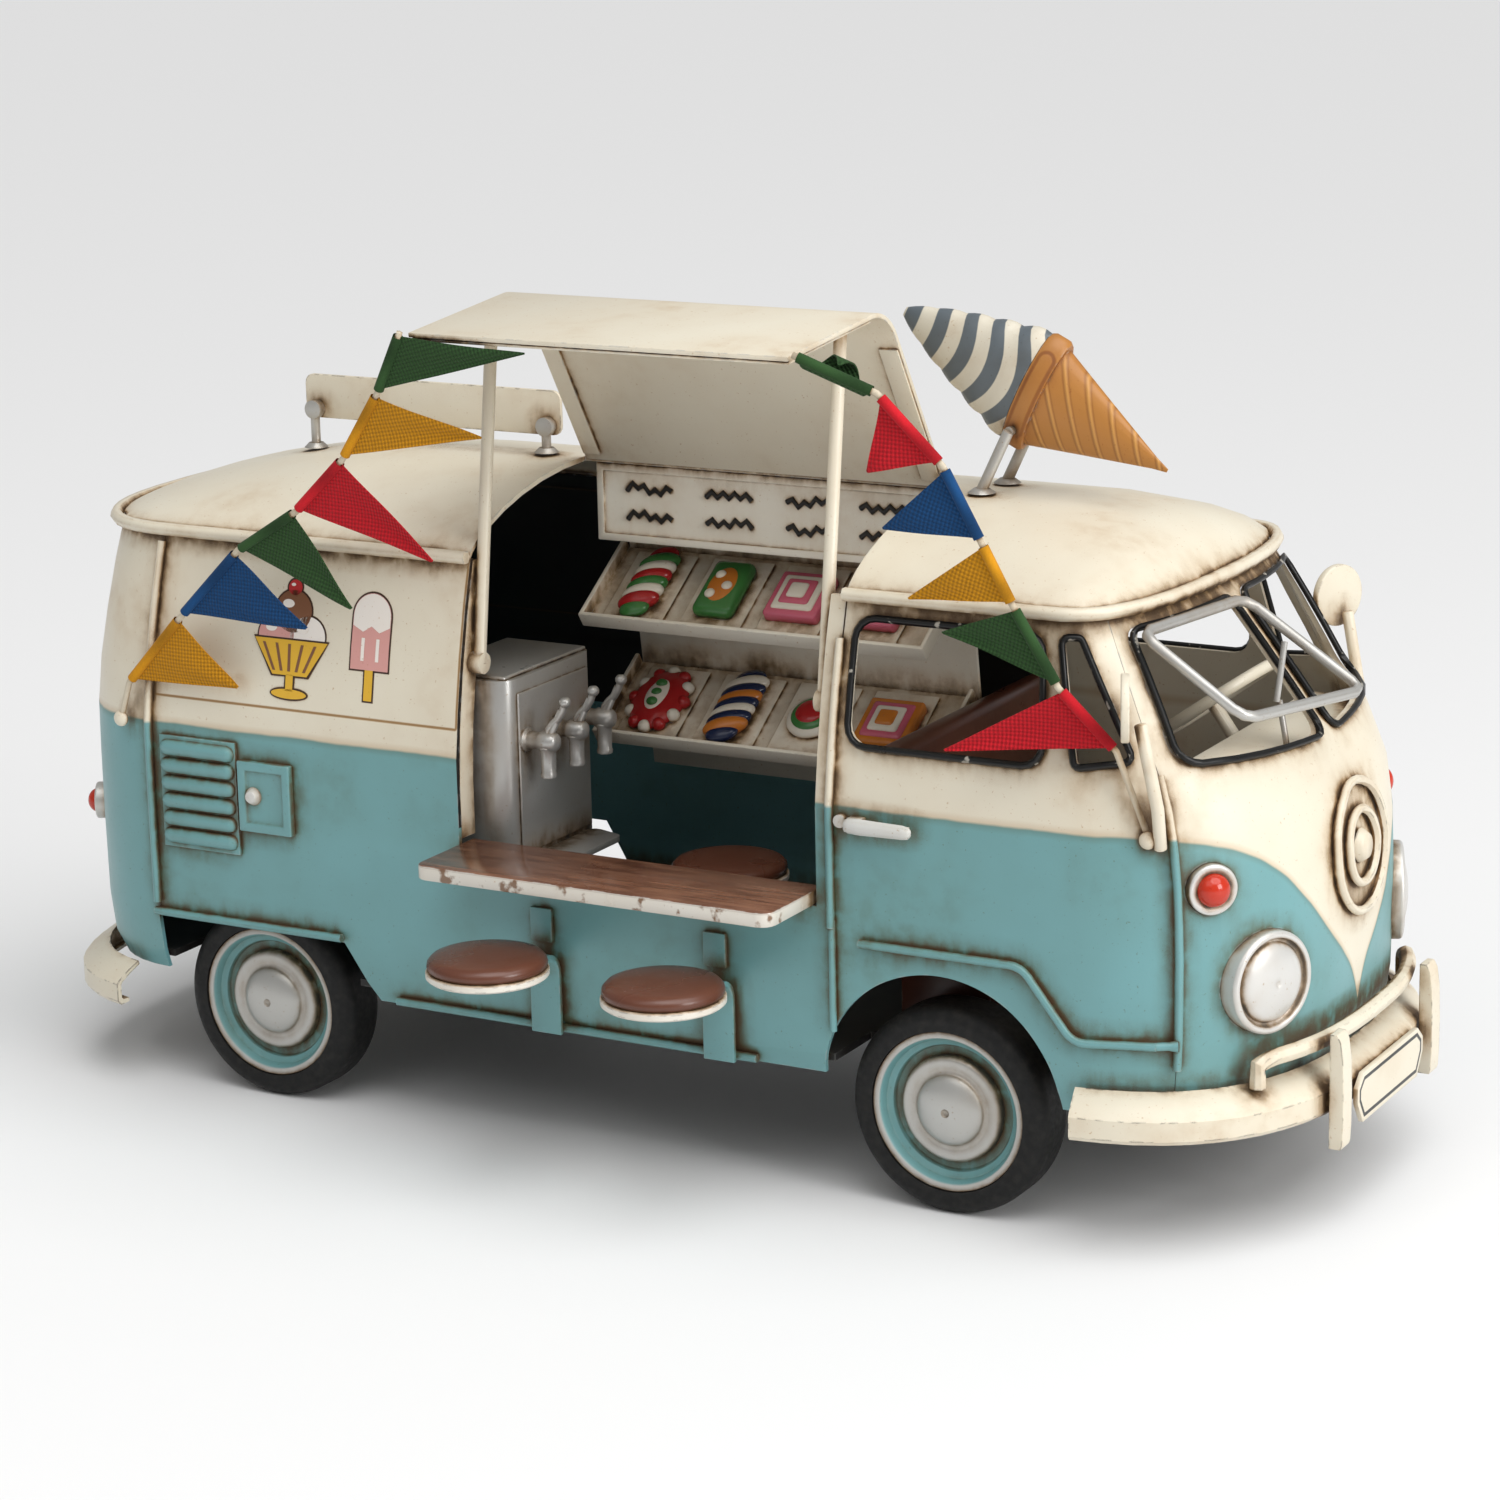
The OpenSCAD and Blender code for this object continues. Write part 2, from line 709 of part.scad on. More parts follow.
module tyre_rear_right() { at_wheel(wheel_rear_right) tyre(); }
module tyre_rear_left() { at_wheel(wheel_rear_left) tyre(); }
module rim_front_right() { at_wheel(wheel_front_right) rim(); }
module rim_front_left() { at_wheel(wheel_front_left) rim(); }
module rim_rear_right() { at_wheel(wheel_rear_right) rim(); }
module rim_rear_left() { at_wheel(wheel_rear_left) rim(); }
module hubcap_front_right() { at_wheel(wheel_front_right) hubcap(); }
module hubcap_front_left() { at_wheel(wheel_front_left) hubcap(); }
module hubcap_rear_right() { at_wheel(wheel_rear_right) hubcap(); }
module hubcap_rear_left() { at_wheel(wheel_rear_left) hubcap(); }

// Bumper section: distance out from the bumper line, height above its bottom edge
bumper_out = 3.8;
bumper_section = [
  [0.4, 0.4], [2.4, 0], [3.2, 0.9], [3.2, 4.7], [2.6, 5.5], [0.2, 7.3], [-2.4, 8.8],
  [-2.6, 8], [-0.2, 6.5], [1.9, 4.9], [2.2, 4.3], [2.2, 1.6], [1.8, 1.1], [0.4, 1.2]
];
module bumper(us, z) {
  color("ivory")
    skin([
      for (u = us)
        [for (p = bumper_section) let (q = outline(u, sill_z + 5, bumper_out + p[0])) [q[0], q[1], z + p[1]]]
    ]);
}
module front_bumper() {
  bumper(stations(-83, 83, 26), bumper_z);
}
module rear_bumper() {
  bumper(stations(203, 357, 24), rear_bumper_z);
}
// Flat irons under the floor that carry both bumpers, this far from the middle
iron_y = 22;
iron_size = [6, 1.2];
iron_x = 118;
module bumper_iron(reach) {
  z = sill_z - seat * 2 - iron_size[1];
  union() {
    translate([iron_x, -iron_size[0] / 2, z]) cube([reach - iron_x, iron_size[0], iron_size[1]]);
    translate([iron_x, -iron_size[0] / 2, z]) cube([iron_size[1], iron_size[0], floor_z - seat - z]);
  }
}
module bumper_irons() {
  far = iron_y + iron_size[0] / 2;
  bend = pow(1 - pow(far / (half_w(sill_z + 5) + bumper_out), squareness), 1 / squareness);
  front_reach = surf_x(far, sill_z + 5, bumper_out + 1.5);
  rear_reach = -(curve_rear_x + (rear_x(sill_z + 5) - bumper_out + 2.6 - curve_rear_x) * bend);
  color("silver")
    for (side = [-1, 1]) {
      translate([0, side * iron_y, 0]) bumper_iron(front_reach);
      translate([0, side * iron_y, 0]) rotate([0, 0, 180]) bumper_iron(rear_reach);
    }
}
// Guard bar over the front bumper, and the two upright overriders in front of it
guard_r = 1.7;
overrider_w = 4.6;
guard_z = 37;
guard_end_u = 38;
bumper_front = bumper_out + 3.2;
module guard_bar() {
  out = bumper_out + 0.4;
  foot_z = bumper_z + 8.4 + 0.2;
  run = [
    for (u = [-guard_end_u + 4 : 4 : guard_end_u - 4])
      outline(u, sill_z + 5, out) + [0, 0, guard_z - sill_z - 5]
  ];
  function foot(u) = [
    for (z = [foot_z, guard_z - 3.5, guard_z - 1]) let (p = outline(u, sill_z + 5, out)) [p[0], p[1], z]
  ];
  right_foot = foot(-guard_end_u);
  left_foot = foot(guard_end_u);
  x = surf_x(overrider_y - overrider_w / 2, sill_z + 5, bumper_front) + 0.2;
  color("ivory") {
    tube(concat(right_foot, run, [for (i = [2 : -1 : 0]) left_foot[i]]), guard_r, 8, [1, 0.02, 0.1]);
    for (side = [-1, 1])
      translate([x, side * overrider_y + overrider_w / 2, 17])
        rotate([90, 0, 0])
          linear_extrude(overrider_w)
            polygon([[0, 0], [2.4, 0], [3, 0.8], [3, 20.8], [1.4, 22.8], [0, 22.8]]);
  }
}
// Blank number plate on the middle of the front bumper
plate_size = [36, 10, 1];
module plate() {
  x = front_x(sill_z + 5) + bumper_front + 0.2;
  half = plate_size[0] / 2;
  color("ivory")
    translate([x, 0, bumper_z + 1 - plate_size[1] / 2])
      rotate([90, 0, 90])
        linear_extrude(plate_size[2])
          polygon([
            [-half, plate_size[1] * 0.45], [-half + 3, 0], [half - 3, 0], [half, plate_size[1] * 0.45],
            [half, plate_size[1] * 0.75], [half - 3, plate_size[1]], [-half + 3, plate_size[1]],
            [-half, plate_size[1] * 0.75]
          ]);
}

// Headlights: a round bowl with a raised rim and a domed lens
module headlights() {
  color("silver")
    for (side = [-1, 1])
      on_nose(lamp_places[0], side)
        rotate_extrude()
          union() {
            translate([0, -4]) square([lamp_r, 5.2]);
            translate([0, 1.2]) square([lamp_r - 0.6, 0.9]);
            intersection() {
              translate([0, 2.1 + 2.2 - 17]) circle(r = 17);
              translate([0, 2.1]) square([lamp_r - 2, 4]);
            }
          }
}
// Indicators on the nose and lamps on the tail: a flange and a red dome
tail_lamp = [33, 55];
module lamp_dome(r) {
  rotate_extrude()
    union() {
      translate([0, -2.5]) square([r, 3.6]);
      intersection() {
        translate([0, 0.8]) circle(r = r * 0.66);
        translate([0, 1.1]) square([r, r]);
      }
    }
}
module indicators() {
  color("tomato") {
    for (side = [-1, 1]) {
      on_nose(lamp_places[1], side) lamp_dome(lamp_places[1][2]);
      translate([
        curve_rear_x + (rear_x(tail_lamp[1]) - curve_rear_x)
          * pow(1 - pow(tail_lamp[0] / half_w(tail_lamp[1]), squareness), 1 / squareness) - 2.9,
        side * tail_lamp[0], tail_lamp[1]
      ])
        rotate([0, -90, -side * 28])
          lamp_dome(4);
    }
  }
}
// Two plain raised rings and a centre boss on the nose
ring_wire = 0.9;
module nose_rings() {
  function ring(r) = [
    for (a = [0 : 10 : 350])
      let (y = r * cos(a), z = nose_ring_z + r * sin(a)) [surf_x(y, z, ring_wire + seat), y, z]
  ];
  color("ivory") {
    tube(ring(nose_ring_r - ring_wire), ring_wire, 6, [1, 0, 0], true);
    tube(ring(nose_ring_r * 0.53), ring_wire, 6, [1, 0, 0], true);
    translate([surf_x(0, nose_ring_z) + 0.3, 0, nose_ring_z])
      rotate([0, 87, 0])
        cylinder(r1 = 3.4, r2 = 2.4, h = 1.6);
  }
}

// Rubber seals round the windows, laid on the body's surface
seal_r = 0.75;
function side_loop(pts, side) =
  [for (p = divided(pts, 9)) [p[0], side * surf_y(p[0], p[1], seal_r + seat), p[1]]];
function screen_loop(pts, side) =
  [for (p = divided(pts, 7)) [surf_x(p[0], p[1], seal_r + seat), side * p[0], p[1]]];
module window_seals() {
  color("black")
    for (side = [-1, 1]) {
      tube(side_loop(door_window, side), seal_r, 4, [0, 1, 0], true);
      tube(side_loop(quarter_window, side), seal_r, 4, [0, 1, 0], true);
      tube(screen_loop(screen_window, side), seal_r, 4, [1, 0, 0], true);
    }
}
// Opening windscreen frame of bent wire on the right, swung out on a jointed flat stay
frame_r = 1.1;
module screen_frame() {
  top_z = gutter_z - 3;
  lead = seal_r * 2 + frame_r + 1.9;
  hinge_in = [surf_x(4, top_z, lead), -4, top_z];
  hinge_out = [surf_x(40, top_z, lead), -40, top_z];
  low_in = [nose_x + 1, -3, 101];
  low_out = [nose_x - 8.5, -39, 102.5];
  path = flat([
    for (c = [
      [hinge_in, low_in, hinge_out], [hinge_out, hinge_in, low_out],
      [low_out, hinge_out, low_in], [low_in, low_out, hinge_in]
    ])
      let (back = unit(c[1] - c[0]), on = unit(c[2] - c[0]))
        [c[0] + 3 * back, c[0] + 0.9 * (back + on), c[0] + 3 * on]
  ]);
  rail = mix(hinge_in, low_in, 0.4);
  color("silver") {
    tube(path, frame_r, 8, [0.45, 0, 1], true);
    stay_foot = [surf_x(9, screen_base_z + 1.5, -wall - 3), -9, screen_base_z - 1.1];
    stay_knee = mix(rail, stay_foot, 0.55) + [-1.5, -1.5, 0];
    stay_top = rail + [0, -frame_r - 1.2, -0.6];
    for (pair = [[stay_foot, stay_knee], [stay_knee + [0, -1.4, 0], stay_top + [0, -1.4, 0]]])
      rod(pair[0], pair[1], 1.2);
  }
}
// Round mirrors on stalks from the front corners: disc middle and stalk foot
mirror_r = 6.4;
mirror_toe = 24;
module mirrors() {
  foot_z = belt_z - 1;
  foot_x = 124.5;
  color("ivory")
    for (side = [-1, 1]) {
      foot = [foot_x, side * surf_y(foot_x, foot_z, 1.6), foot_z];
      knee = [foot_x + 0.2, side * (surf_y(foot_x, foot_z, 3.2)), foot_z + 8];
      head = [121.5, side * 52.5, 103];
      tube([foot, knee, mix(knee, head, 0.5), head], 1.3, 8, [1, 0, 0]);
      translate(head + [-0.4, 0, 3])
        rotate([0, -90, -side * mirror_toe])
          translate([0, 0, 1.6])
            cylinder(r = mirror_r, h = 1.6);
    }
}

// Cab: bench seat across the bus, steering wheel on the left, cowl shelf under the windscreen
module bench_seat() {
  half = body_half_w - 10;
  color("saddlebrown") {
    translate([0, half, 0])
      rotate([90, 0, 0])
        linear_extrude(2 * half)
          polygon(round_corners([[60, 46], [84, 46.5], [84, 55], [68, 54], [63, 88], [57.6, 88]], 2, 3));
    translate([61, -32, floor_z + floor_t + seat])
      cube([20, 64, 46 - floor_z - floor_t - 0.5]);
  }
}
dash_x = nose_x - 28;
steer_middle = [dash_x - 12.5, 22, screen_base_z - 1];
steer_lean = 36;
steer_r = 14;
module steering() {
  column_len = (dash_x - 1.6 - steer_middle[0]) / sin(steer_lean);
  color("ivory")
    translate(steer_middle)
      rotate([0, -steer_lean, 0])
        union() {
          rotate_extrude()
            translate([steer_r, 0]) circle(r = 1.2);
          for (a = [30, 150, 270])
            rotate([0, 90, a]) cylinder(r = 0.8, h = steer_r);
          translate([0, 0, -column_len]) cylinder(r = 1.4, h = column_len + 1.5);
        }
}
module dashboard() {
  shelf_z = screen_base_z - 4;
  rim = [for (u = [-54 : 9 : 54]) let (p = outline(u, screen_base_z, -wall - 0.4)) [p[0], p[1]]];
  half = rim[len(rim) - 1][1];
  color("ivory")
    union() {
      translate([0, 0, shelf_z])
        linear_extrude(2)
          polygon(concat(rim, [[dash_x, half], [dash_x, -half]]));
      translate([dash_x, -half, shelf_z - 14])
        cube([1.5, 2 * half, 14.5]);
    }
}

// Menu board hung under the ridge of the roof, with a raised frame
menu_h = 16.5;
menu_y = 1.2;
module menu_board() {
  top = ridge_z - wall - 0.4;
  length = awning_x1 - awning_x0 - 2;
  color("ivory")
    translate([awning_x0 + 1, menu_y, top - menu_h])
      difference() {
        cube([length, 1.6, menu_h]);
        translate([1.6, -1, 1.6]) cube([length - 3.2, 1.6, menu_h - 3.2]);
      }
}
// Bent sheet behind the shelves, hung from the roof, and two tilted trays on it
rack_x0 = -27;
rack_x1 = 54;
rack_top = [14.5, 116];
rack_foot = [23, 62];
module display_back() {
  y = rack_top[0];
  z_roof = roof_height(0, y / surf_y(0, gutter_z)) - wall - 1.2;
  color("ivory")
    translate([rack_x0, 0, 0])
      rotate([90, 0, 90])
        linear_extrude(rack_x1 - rack_x0)
          polygon([
            [y, z_roof], [y, rack_top[1]], rack_foot,
            rack_foot + [1, 0], [y + 1, rack_top[1]], [y + 1, z_roof]
          ]);
}
tray_depth = 23;
tray_lip = 2.6;
tray_tilt = 34;
// Trays: height of the rear edge
tray_zs = [111, 85];
function rack_y(z) = mix(rack_top[0], rack_foot[0], (rack_top[1] - z) / (rack_top[1] - rack_foot[1]));
module on_tray(z) {
  translate([rack_x0, rack_y(z - 1) - 1.1, z])
    rotate([tray_tilt, 0, 0])
      translate([0, -tray_depth, 0])
        children();
}
module trays() {
  length = rack_x1 - rack_x0;
  color("ivory")
    for (z = tray_zs)
      on_tray(z)
        difference() {
          cube([length, tray_depth, tray_lip + 1]);
          translate([1, 1, 1]) cube([length - 2, tray_depth, tray_lip + 2]);
        }
}
// Cakes: tray, place along it, length, width, height, kind (0 roll, 1 block, 2 round)
cake_rows = [
  [0, 12, 17, 9, 4.5, 0], [0, 30, 14, 9, 4, 1], [0, 48, 12, 12, 3.5, 1], [0, 66, 12, 12, 3.5, 1],
  [1, 11, 17, 13, 3.5, 2], [1, 30, 18, 10, 4.5, 0], [1, 48, 12, 12, 4, 2], [1, 66, 12, 12, 3.5, 1]
];
module cake(length, width, height, kind) {
  if (kind == 0)
    intersection() {
      translate([0, length / 2, height - width / 2 - 0.4]) rotate([90, 0, 0]) cylinder(d = width, h = length);
      translate([-width, -length, 0]) cube([2 * width, 2 * length, height]);
    }
  if (kind == 1)
    translate([-width / 2, -length / 2, 0]) cube([width, length, height]);
  if (kind == 2)
    cylinder(d1 = width, d2 = width - 2, h = height);
}
module cakes() {
  color("crimson")
    for (c = cake_rows)
      on_tray(tray_zs[c[0]])
        translate([c[1], tray_depth / 2, 1 + seat])
          cake(c[2], c[3], c[4], c[5]);
}

// Drinks dispenser behind the hatch: cabinet on a pedestal, three taps and a drip tray
disp = [-43, -half_w(hatch_z + 35) + wall + post_depth + 0.6, 55];
disp_size = [22, 34, 40];
tap_ys = [6, 17, 28];
module dispenser() {
  front = disp[0] + disp_size[0];
  color("silver") {
    translate([disp[0], disp[1], disp[2]])
      linear_extrude(disp_size[2])
        polygon(round_corners([
          [0, 0], [disp_size[0], 0], [disp_size[0], disp_size[1]], [0, disp_size[1]]
        ], 4, 4));
    translate([disp[0] + 3, disp[1] + 4, floor_z + floor_t + seat])
      cube([disp_size[0] - 4, disp_size[1] - 8, disp[2] - floor_z - floor_t - 2 * seat]);
    for (y = tap_ys)
      translate([front + seat, disp[1] + y, disp[2] + 27])
        union() {
          rotate([0, 90, 0]) cylinder(r = 1.5, h = 7);
          translate([5.5, 0, -7]) cylinder(r = 1.3, h = 7);
          rod([5.5, 0, 0], [9, 0, 7], 1.4);
        }
    translate([front + seat, disp[1] + 3, disp[2] + 1])
      linear_extrude(1.2)
        polygon(round_corners([[0, 0], [9, 3], [9, disp_size[1] - 9], [0, disp_size[1] - 6]], 2, 3));
  }
}

// Roof sign: a blank board on two round posts with feet
sign_x = -66;
sign_z = 137.5;
post_xs = [sign_x - sign_len / 2 + 3, sign_x + sign_len / 2 - 3];
module roof_sign() {
  color("ivory")
    translate([sign_x - sign_len / 2, 0.5, sign_z])
      rotate([90, 0, 0])
        linear_extrude(1)
          polygon(round_corners([[0, 0], [sign_len, 0], [sign_len, sign_h], [0, sign_h]], 2, 4));
}
module sign_posts() {
  color("silver")
    for (x = post_xs) {
      y = -0.5 - 1 - seat;
      foot = roof_height(x, y / surf_y(x, gutter_z)) + 0.5;
      union() {
        translate([x, y, foot]) cylinder(r = 1, h = sign_z + 2 - foot);
        translate([x, y, foot]) cylinder(r1 = 2.6, r2 = 1.6, h = 1);
        translate([x, y + 1, sign_z + 2]) rotate([90, 0, 0]) cylinder(r = 2, h = 2);
      }
    }
}
// Ice cream sign: a flattened wafer cone and a striped swirl, tilted on a two-legged stand
cone_at = [74.5, 0, 154.5];
cone_tilt = 26.5;
cone_flat = 0.42;
function oval(w, z, n) = [
  for (i = [n - 1 : -1 : 0]) [z, w / 2 * cone_flat * sin(360 * i / n), w / 2 * cos(360 * i / n)]
];
// Wafer: distance along the cone, share of its largest width
wafer_rows = [[33, 0.03], [30, 0.1], [16.5, 0.5], [4.6, 0.86], [4.5, 0.94], [3.6, 1], [0.9, 1], [0, 0.96]];
module cone_wafer() {
  color("peru")
    translate(cone_at)
      rotate([0, cone_tilt, 0])
        skin([for (r = wafer_rows) oval(r[1] * wafer_w, r[0] * wafer_len / 33, 20)]);
}
swirl_turns = 5;
swirl_len = 30;
module cone_swirl() {
  steps = swirl_turns * 4;
  color("lightslategray")
    translate(cone_at)
      rotate([0, cone_tilt, 0])
        skin([
          for (i = [0 : steps])
            let (
              t = i / steps,
              bulge = 1 + 0.07 * abs(sin(180 * swirl_turns * t)),
              w = wafer_w * 0.95 * pow(1 - 0.97 * t, 0.72) * bulge
            )
            oval(w, -seat - swirl_len * t, 20)
        ]);
}
// Each leg ends in a pin against the wafer's collar, this far along and below the cone's middle line
pin_along = 2.2;
pin_below = wafer_w * 0.32;
module cone_stand() {
  pin_end = wafer_w / 2 * cone_flat * sqrt(1 - pow((pin_below - 0.9) / (wafer_w / 2), 2)) + 0.15;
  leg_y = pin_end + 1.4;
  foot_x = 67;
  top_x = cone_at[0] + pin_along * cos(cone_tilt) - pin_below * sin(cone_tilt);
  top_z = cone_at[2] - pin_along * sin(cone_tilt) - pin_below * cos(cone_tilt);
  color("silver")
    for (side = [-1, 1]) {
      y = side * leg_y;
      foot = roof_height(foot_x, y / surf_y(foot_x, gutter_z)) + 0.4;
      union() {
        rod([foot_x, y, foot + 0.5], [top_x, y, top_z], 2.2);
        translate([foot_x, y, foot]) cylinder(r1 = 2.8, r2 = 1.6, h = 0.9);
        rod([top_x, y, top_z], [top_x, side * pin_end, top_z], 1.8);
      }
    }
}

// Bunting wires from the awning's outer corners down to studs on the body, through hand-set points
wire_r = 0.7;
// Columns: place along the bus, distance out from the widest part of the body, height
rear_wire_rows = [
  [-28.5, 13, 168.7], [-36, 10.5, 156], [-46, 9, 142], [-59.5, 7, 130], [-75.5, 5.5, 120.5],
  [-92, 4, 105], [-108, 2.2, 89], [-111, 1.4, 81.5]
];
front_wire_rows = [
  [58, 13, 169.2], [73.5, 9.5, 162.5], [85.5, 7, 149.5], [92.5, 5.5, 135.5], [98, 4, 124],
  [106.5, 2.5, 109], [117, 0, 97.5], [122, -3.2, 81]
];
function wire(rows) = [
  for (i = [0 : len(rows) - 1])
    [rows[i][0], i == 0 ? awning_edge[0] - 1 : -body_half_w - rows[i][1], rows[i][2]]
];
rear_wire = wire(rear_wire_rows);
front_wire = wire(front_wire_rows);
module bunting_lines() {
  color("ivory") {
    tube(rear_wire, wire_r, 6, [0, 1, 0]);
    tube(front_wire, wire_r, 6, [0, 1, 0]);
  }
}
// Flags: row of the wire, tip's reach along x and z from the middle of the hoist, and outwards
flag_t = 0.6;
rear_flags = [
  [0, 32, 3.5, 0], [1, 29, -0.5, 0], [2, 27.5, -13.5, 0],
  [3, 21, -14.5, 0], [4, 24.5, -7.5, 0], [5, 21, -6.5, 0]
];
front_flags = [
  [0, -4, -4.5, 0], [1, -9, -8.5, 0], [2, -17, -6, 0],
  [3, -19, -6.5, 0], [4, -19.5, 1, 0], [5, -27.5, -7.5, 5]
];
module flag(wire, row) {
  a = mix(wire[row[0]], wire[row[0] + 1], 0.06);
  b = mix(wire[row[0]], wire[row[0] + 1], 0.94);
  tip = mix(a, b, 0.5) + [row[1], -row[3], row[2]];
  off = (wire_r + 0.3) * unit(cross(cross(b - a, tip - a), b - a));
  face = flag_t / 2 * unit(cross(b - a, tip - a));
  p = a + off;
  q = b + off;
  end_p = mix(p, tip, 0.97);
  end_q = mix(q, tip, 0.97);
  skin([for (s = [1, -1]) [p + s * face, q + s * face, end_q + s * face, end_p + s * face]]);
}
module flags() {
  color("firebrick") {
    for (row = rear_flags) flag(rear_wire, row);
    for (row = front_flags) flag(front_wire, row);
  }
}

// Louvre panels, fuel flap, door handles and studs on the sides
louvre_x = -102;
louvre_z = 54;
louvre_count = 6;
louvre_pitch = 3.8;
module louvre_panel() {
  union() {
    translate([louvre_x, 0, louvre_z]) cube([19.5, 0.8, louvre_count * louvre_pitch + 1.4]);
    for (i = [0 : louvre_count - 1])
      translate([louvre_x + 1.6, 1.1, louvre_z + 2.6 + i * louvre_pitch])
        rotate([0, 90, 0]) cylinder(r = 1, h = 16.3);
  }
}
module side_trim() {
  color("powderblue") {
    for (side = [0, 1])
      mirror([0, side, 0])
        translate([0, half_w(louvre_z + 10) + seat, 0]) {
          louvre_panel();
          translate([door_x + 4.5, 0, belt_z - 3.5]) {
            cube([3, 2.2, 2.6]);
            translate([0, 2.2, 0.2]) cube([13.5, 1.2, 2.2]);
          }
          translate([door_x + 2.4, 0, belt_z - 2]) rotate([-90, 0, 0]) cylinder(r = 1.3, h = 1.4);
        }
    translate([-81.4, -half_w(louvre_z + 10) - seat - 1, 60])
      cube([12.6, 1, 14.5]);
    translate([-78, -half_w(louvre_z + 10) - seat - 1.05, 67.4])
      rotate([90, 0, 0]) cylinder(r1 = 2, r2 = 1.2, h = 1.4);
  }
}

nose_panel();
door_right();
door_left();
side_right();
side_left();
rear_panel();
roof();
awning();
gutter();
seam_beads();
hatch_posts();
prop_rods();
counter();
stool_seats();
stool_brackets();
floor_pan();
axles();
tyre_front_right();
tyre_front_left();
tyre_rear_right();
tyre_rear_left();
rim_front_right();
rim_front_left();
rim_rear_right();
rim_rear_left();
hubcap_front_right();
hubcap_front_left();
hubcap_rear_right();
hubcap_rear_left();
front_bumper();
bumper_irons();
guard_bar();
plate();
rear_bumper();
headlights();
indicators();
nose_rings();
window_seals();
screen_frame();
mirrors();
bench_seat();
steering();
dashboard();
menu_board();
display_back();
trays();
cakes();
dispenser();
roof_sign();
sign_posts();
cone_wafer();
cone_swirl();
cone_stand();
bunting_lines();
flags();
side_trim();
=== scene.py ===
import math
import bpy
from mathutils import Matrix, Vector


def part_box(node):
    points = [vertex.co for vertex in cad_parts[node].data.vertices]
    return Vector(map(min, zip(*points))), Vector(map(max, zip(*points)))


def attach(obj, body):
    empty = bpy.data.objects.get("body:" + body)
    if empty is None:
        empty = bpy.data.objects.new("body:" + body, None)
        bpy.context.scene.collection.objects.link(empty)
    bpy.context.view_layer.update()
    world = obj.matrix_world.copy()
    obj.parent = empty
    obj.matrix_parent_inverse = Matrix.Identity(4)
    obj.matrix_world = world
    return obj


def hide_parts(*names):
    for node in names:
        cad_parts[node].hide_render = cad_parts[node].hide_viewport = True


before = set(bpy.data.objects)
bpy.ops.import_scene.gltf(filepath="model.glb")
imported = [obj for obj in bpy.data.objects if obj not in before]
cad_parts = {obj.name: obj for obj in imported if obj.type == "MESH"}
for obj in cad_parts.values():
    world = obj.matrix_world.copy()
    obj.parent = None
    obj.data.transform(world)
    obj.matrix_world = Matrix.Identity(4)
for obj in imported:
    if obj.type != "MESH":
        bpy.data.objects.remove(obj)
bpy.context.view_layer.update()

# Body panels: thin tin sheets bent round the nose, the sides and the tail and soldered at the seams.
# The upper half is cream enamel and the lower half pale blue, brushed by hand, with a brown wash rubbed into
# the creases that also paints the shade there; inside, the walls behind the hatch are painted near black as
# shade, with a blue lighter than the outer blue below the counter sill painted as the light there, and cream in
# the cab.
MM = 0.001
CREAM = (0.74, 0.685, 0.555, 1)
BLUE = (0.153, 0.342, 0.357, 1)
WASH_AND_SHADE = (0.095, 0.052, 0.022, 1)
TIN = (0.42, 0.42, 0.40, 1)
BELT_HEIGHT = 80.6 * MM


def add(tree, kind, inputs=None, **settings):
    node = tree.nodes.new("ShaderNode" + kind)
    for key, value in settings.items():
        setattr(node, key, value)
    for key, value in (inputs or {}).items():
        if isinstance(value, bpy.types.NodeSocket):
            tree.links.new(value, node.inputs[key])
        else:
            node.inputs[key].default_value = value
    return node


def maths(tree, operation, a, b=0.0, clamp=False):
    return add(tree, "Math", {0: a, 1: b}, operation=operation, use_clamp=clamp).outputs[0]


def times(tree, a, b, clamp=False):
    return maths(tree, "MULTIPLY", a, b, clamp)


def plus(tree, a, b, clamp=False):
    return maths(tree, "ADD", a, b, clamp)


def minus(tree, a, b):
    return maths(tree, "SUBTRACT", a, b)


def span(tree, value, low, high, to_low=0.0, to_high=1.0):
    return add(tree, "MapRange", {0: value, 1: low, 2: high, 3: to_low, 4: to_high}).outputs[0]


def blend(tree, share, a, b):
    mixer = add(tree, "Mix", {0: share, 6: a, 7: b}, data_type="RGBA")
    return mixer.outputs[2]


def noise(tree, vector, scale, detail=2.0):
    return add(tree, "TexNoise", {"Vector": vector, "Scale": scale, "Detail": detail}).outputs[0]


def object_place(tree):
    return add(tree, "TexCoord").outputs["Object"]


def axes(tree, vector):
    return add(tree, "SeparateXYZ", {0: vector}).outputs[:3]


def new_group(name, inputs, outputs):
    tree = bpy.data.node_groups.new(name, "ShaderNodeTree")
    for label, kind in inputs:
        tree.interface.new_socket(label, in_out="INPUT", socket_type=kind)
    for label, kind in outputs:
        tree.interface.new_socket(label, in_out="OUTPUT", socket_type=kind)
    return tree, tree.nodes.new("NodeGroupInput"), tree.nodes.new("NodeGroupOutput")


COLOUR = "NodeSocketColor"
VALUE = "NodeSocketFloat"
aged_shaded, aged_shaded_in, aged_shaded_out = new_group(
    "aged_and_shaded_enamel",
    [("Paint", COLOUR), ("Wash", COLOUR), ("Wash And Shade Amount", VALUE), ("Shade Reach", VALUE), ("Line", VALUE),
     ("Chip", COLOUR), ("Chip Amount", VALUE), ("Gloss", VALUE)],
    [("Color", COLOUR), ("Roughness", VALUE), ("Height", VALUE)],
)
place = object_place(aged_shaded)
broad = noise(aged_shaded, place, 45, 3)
patches = noise(aged_shaded, place, 260, 3)
grain = noise(aged_shaded, place, 1700, 2)
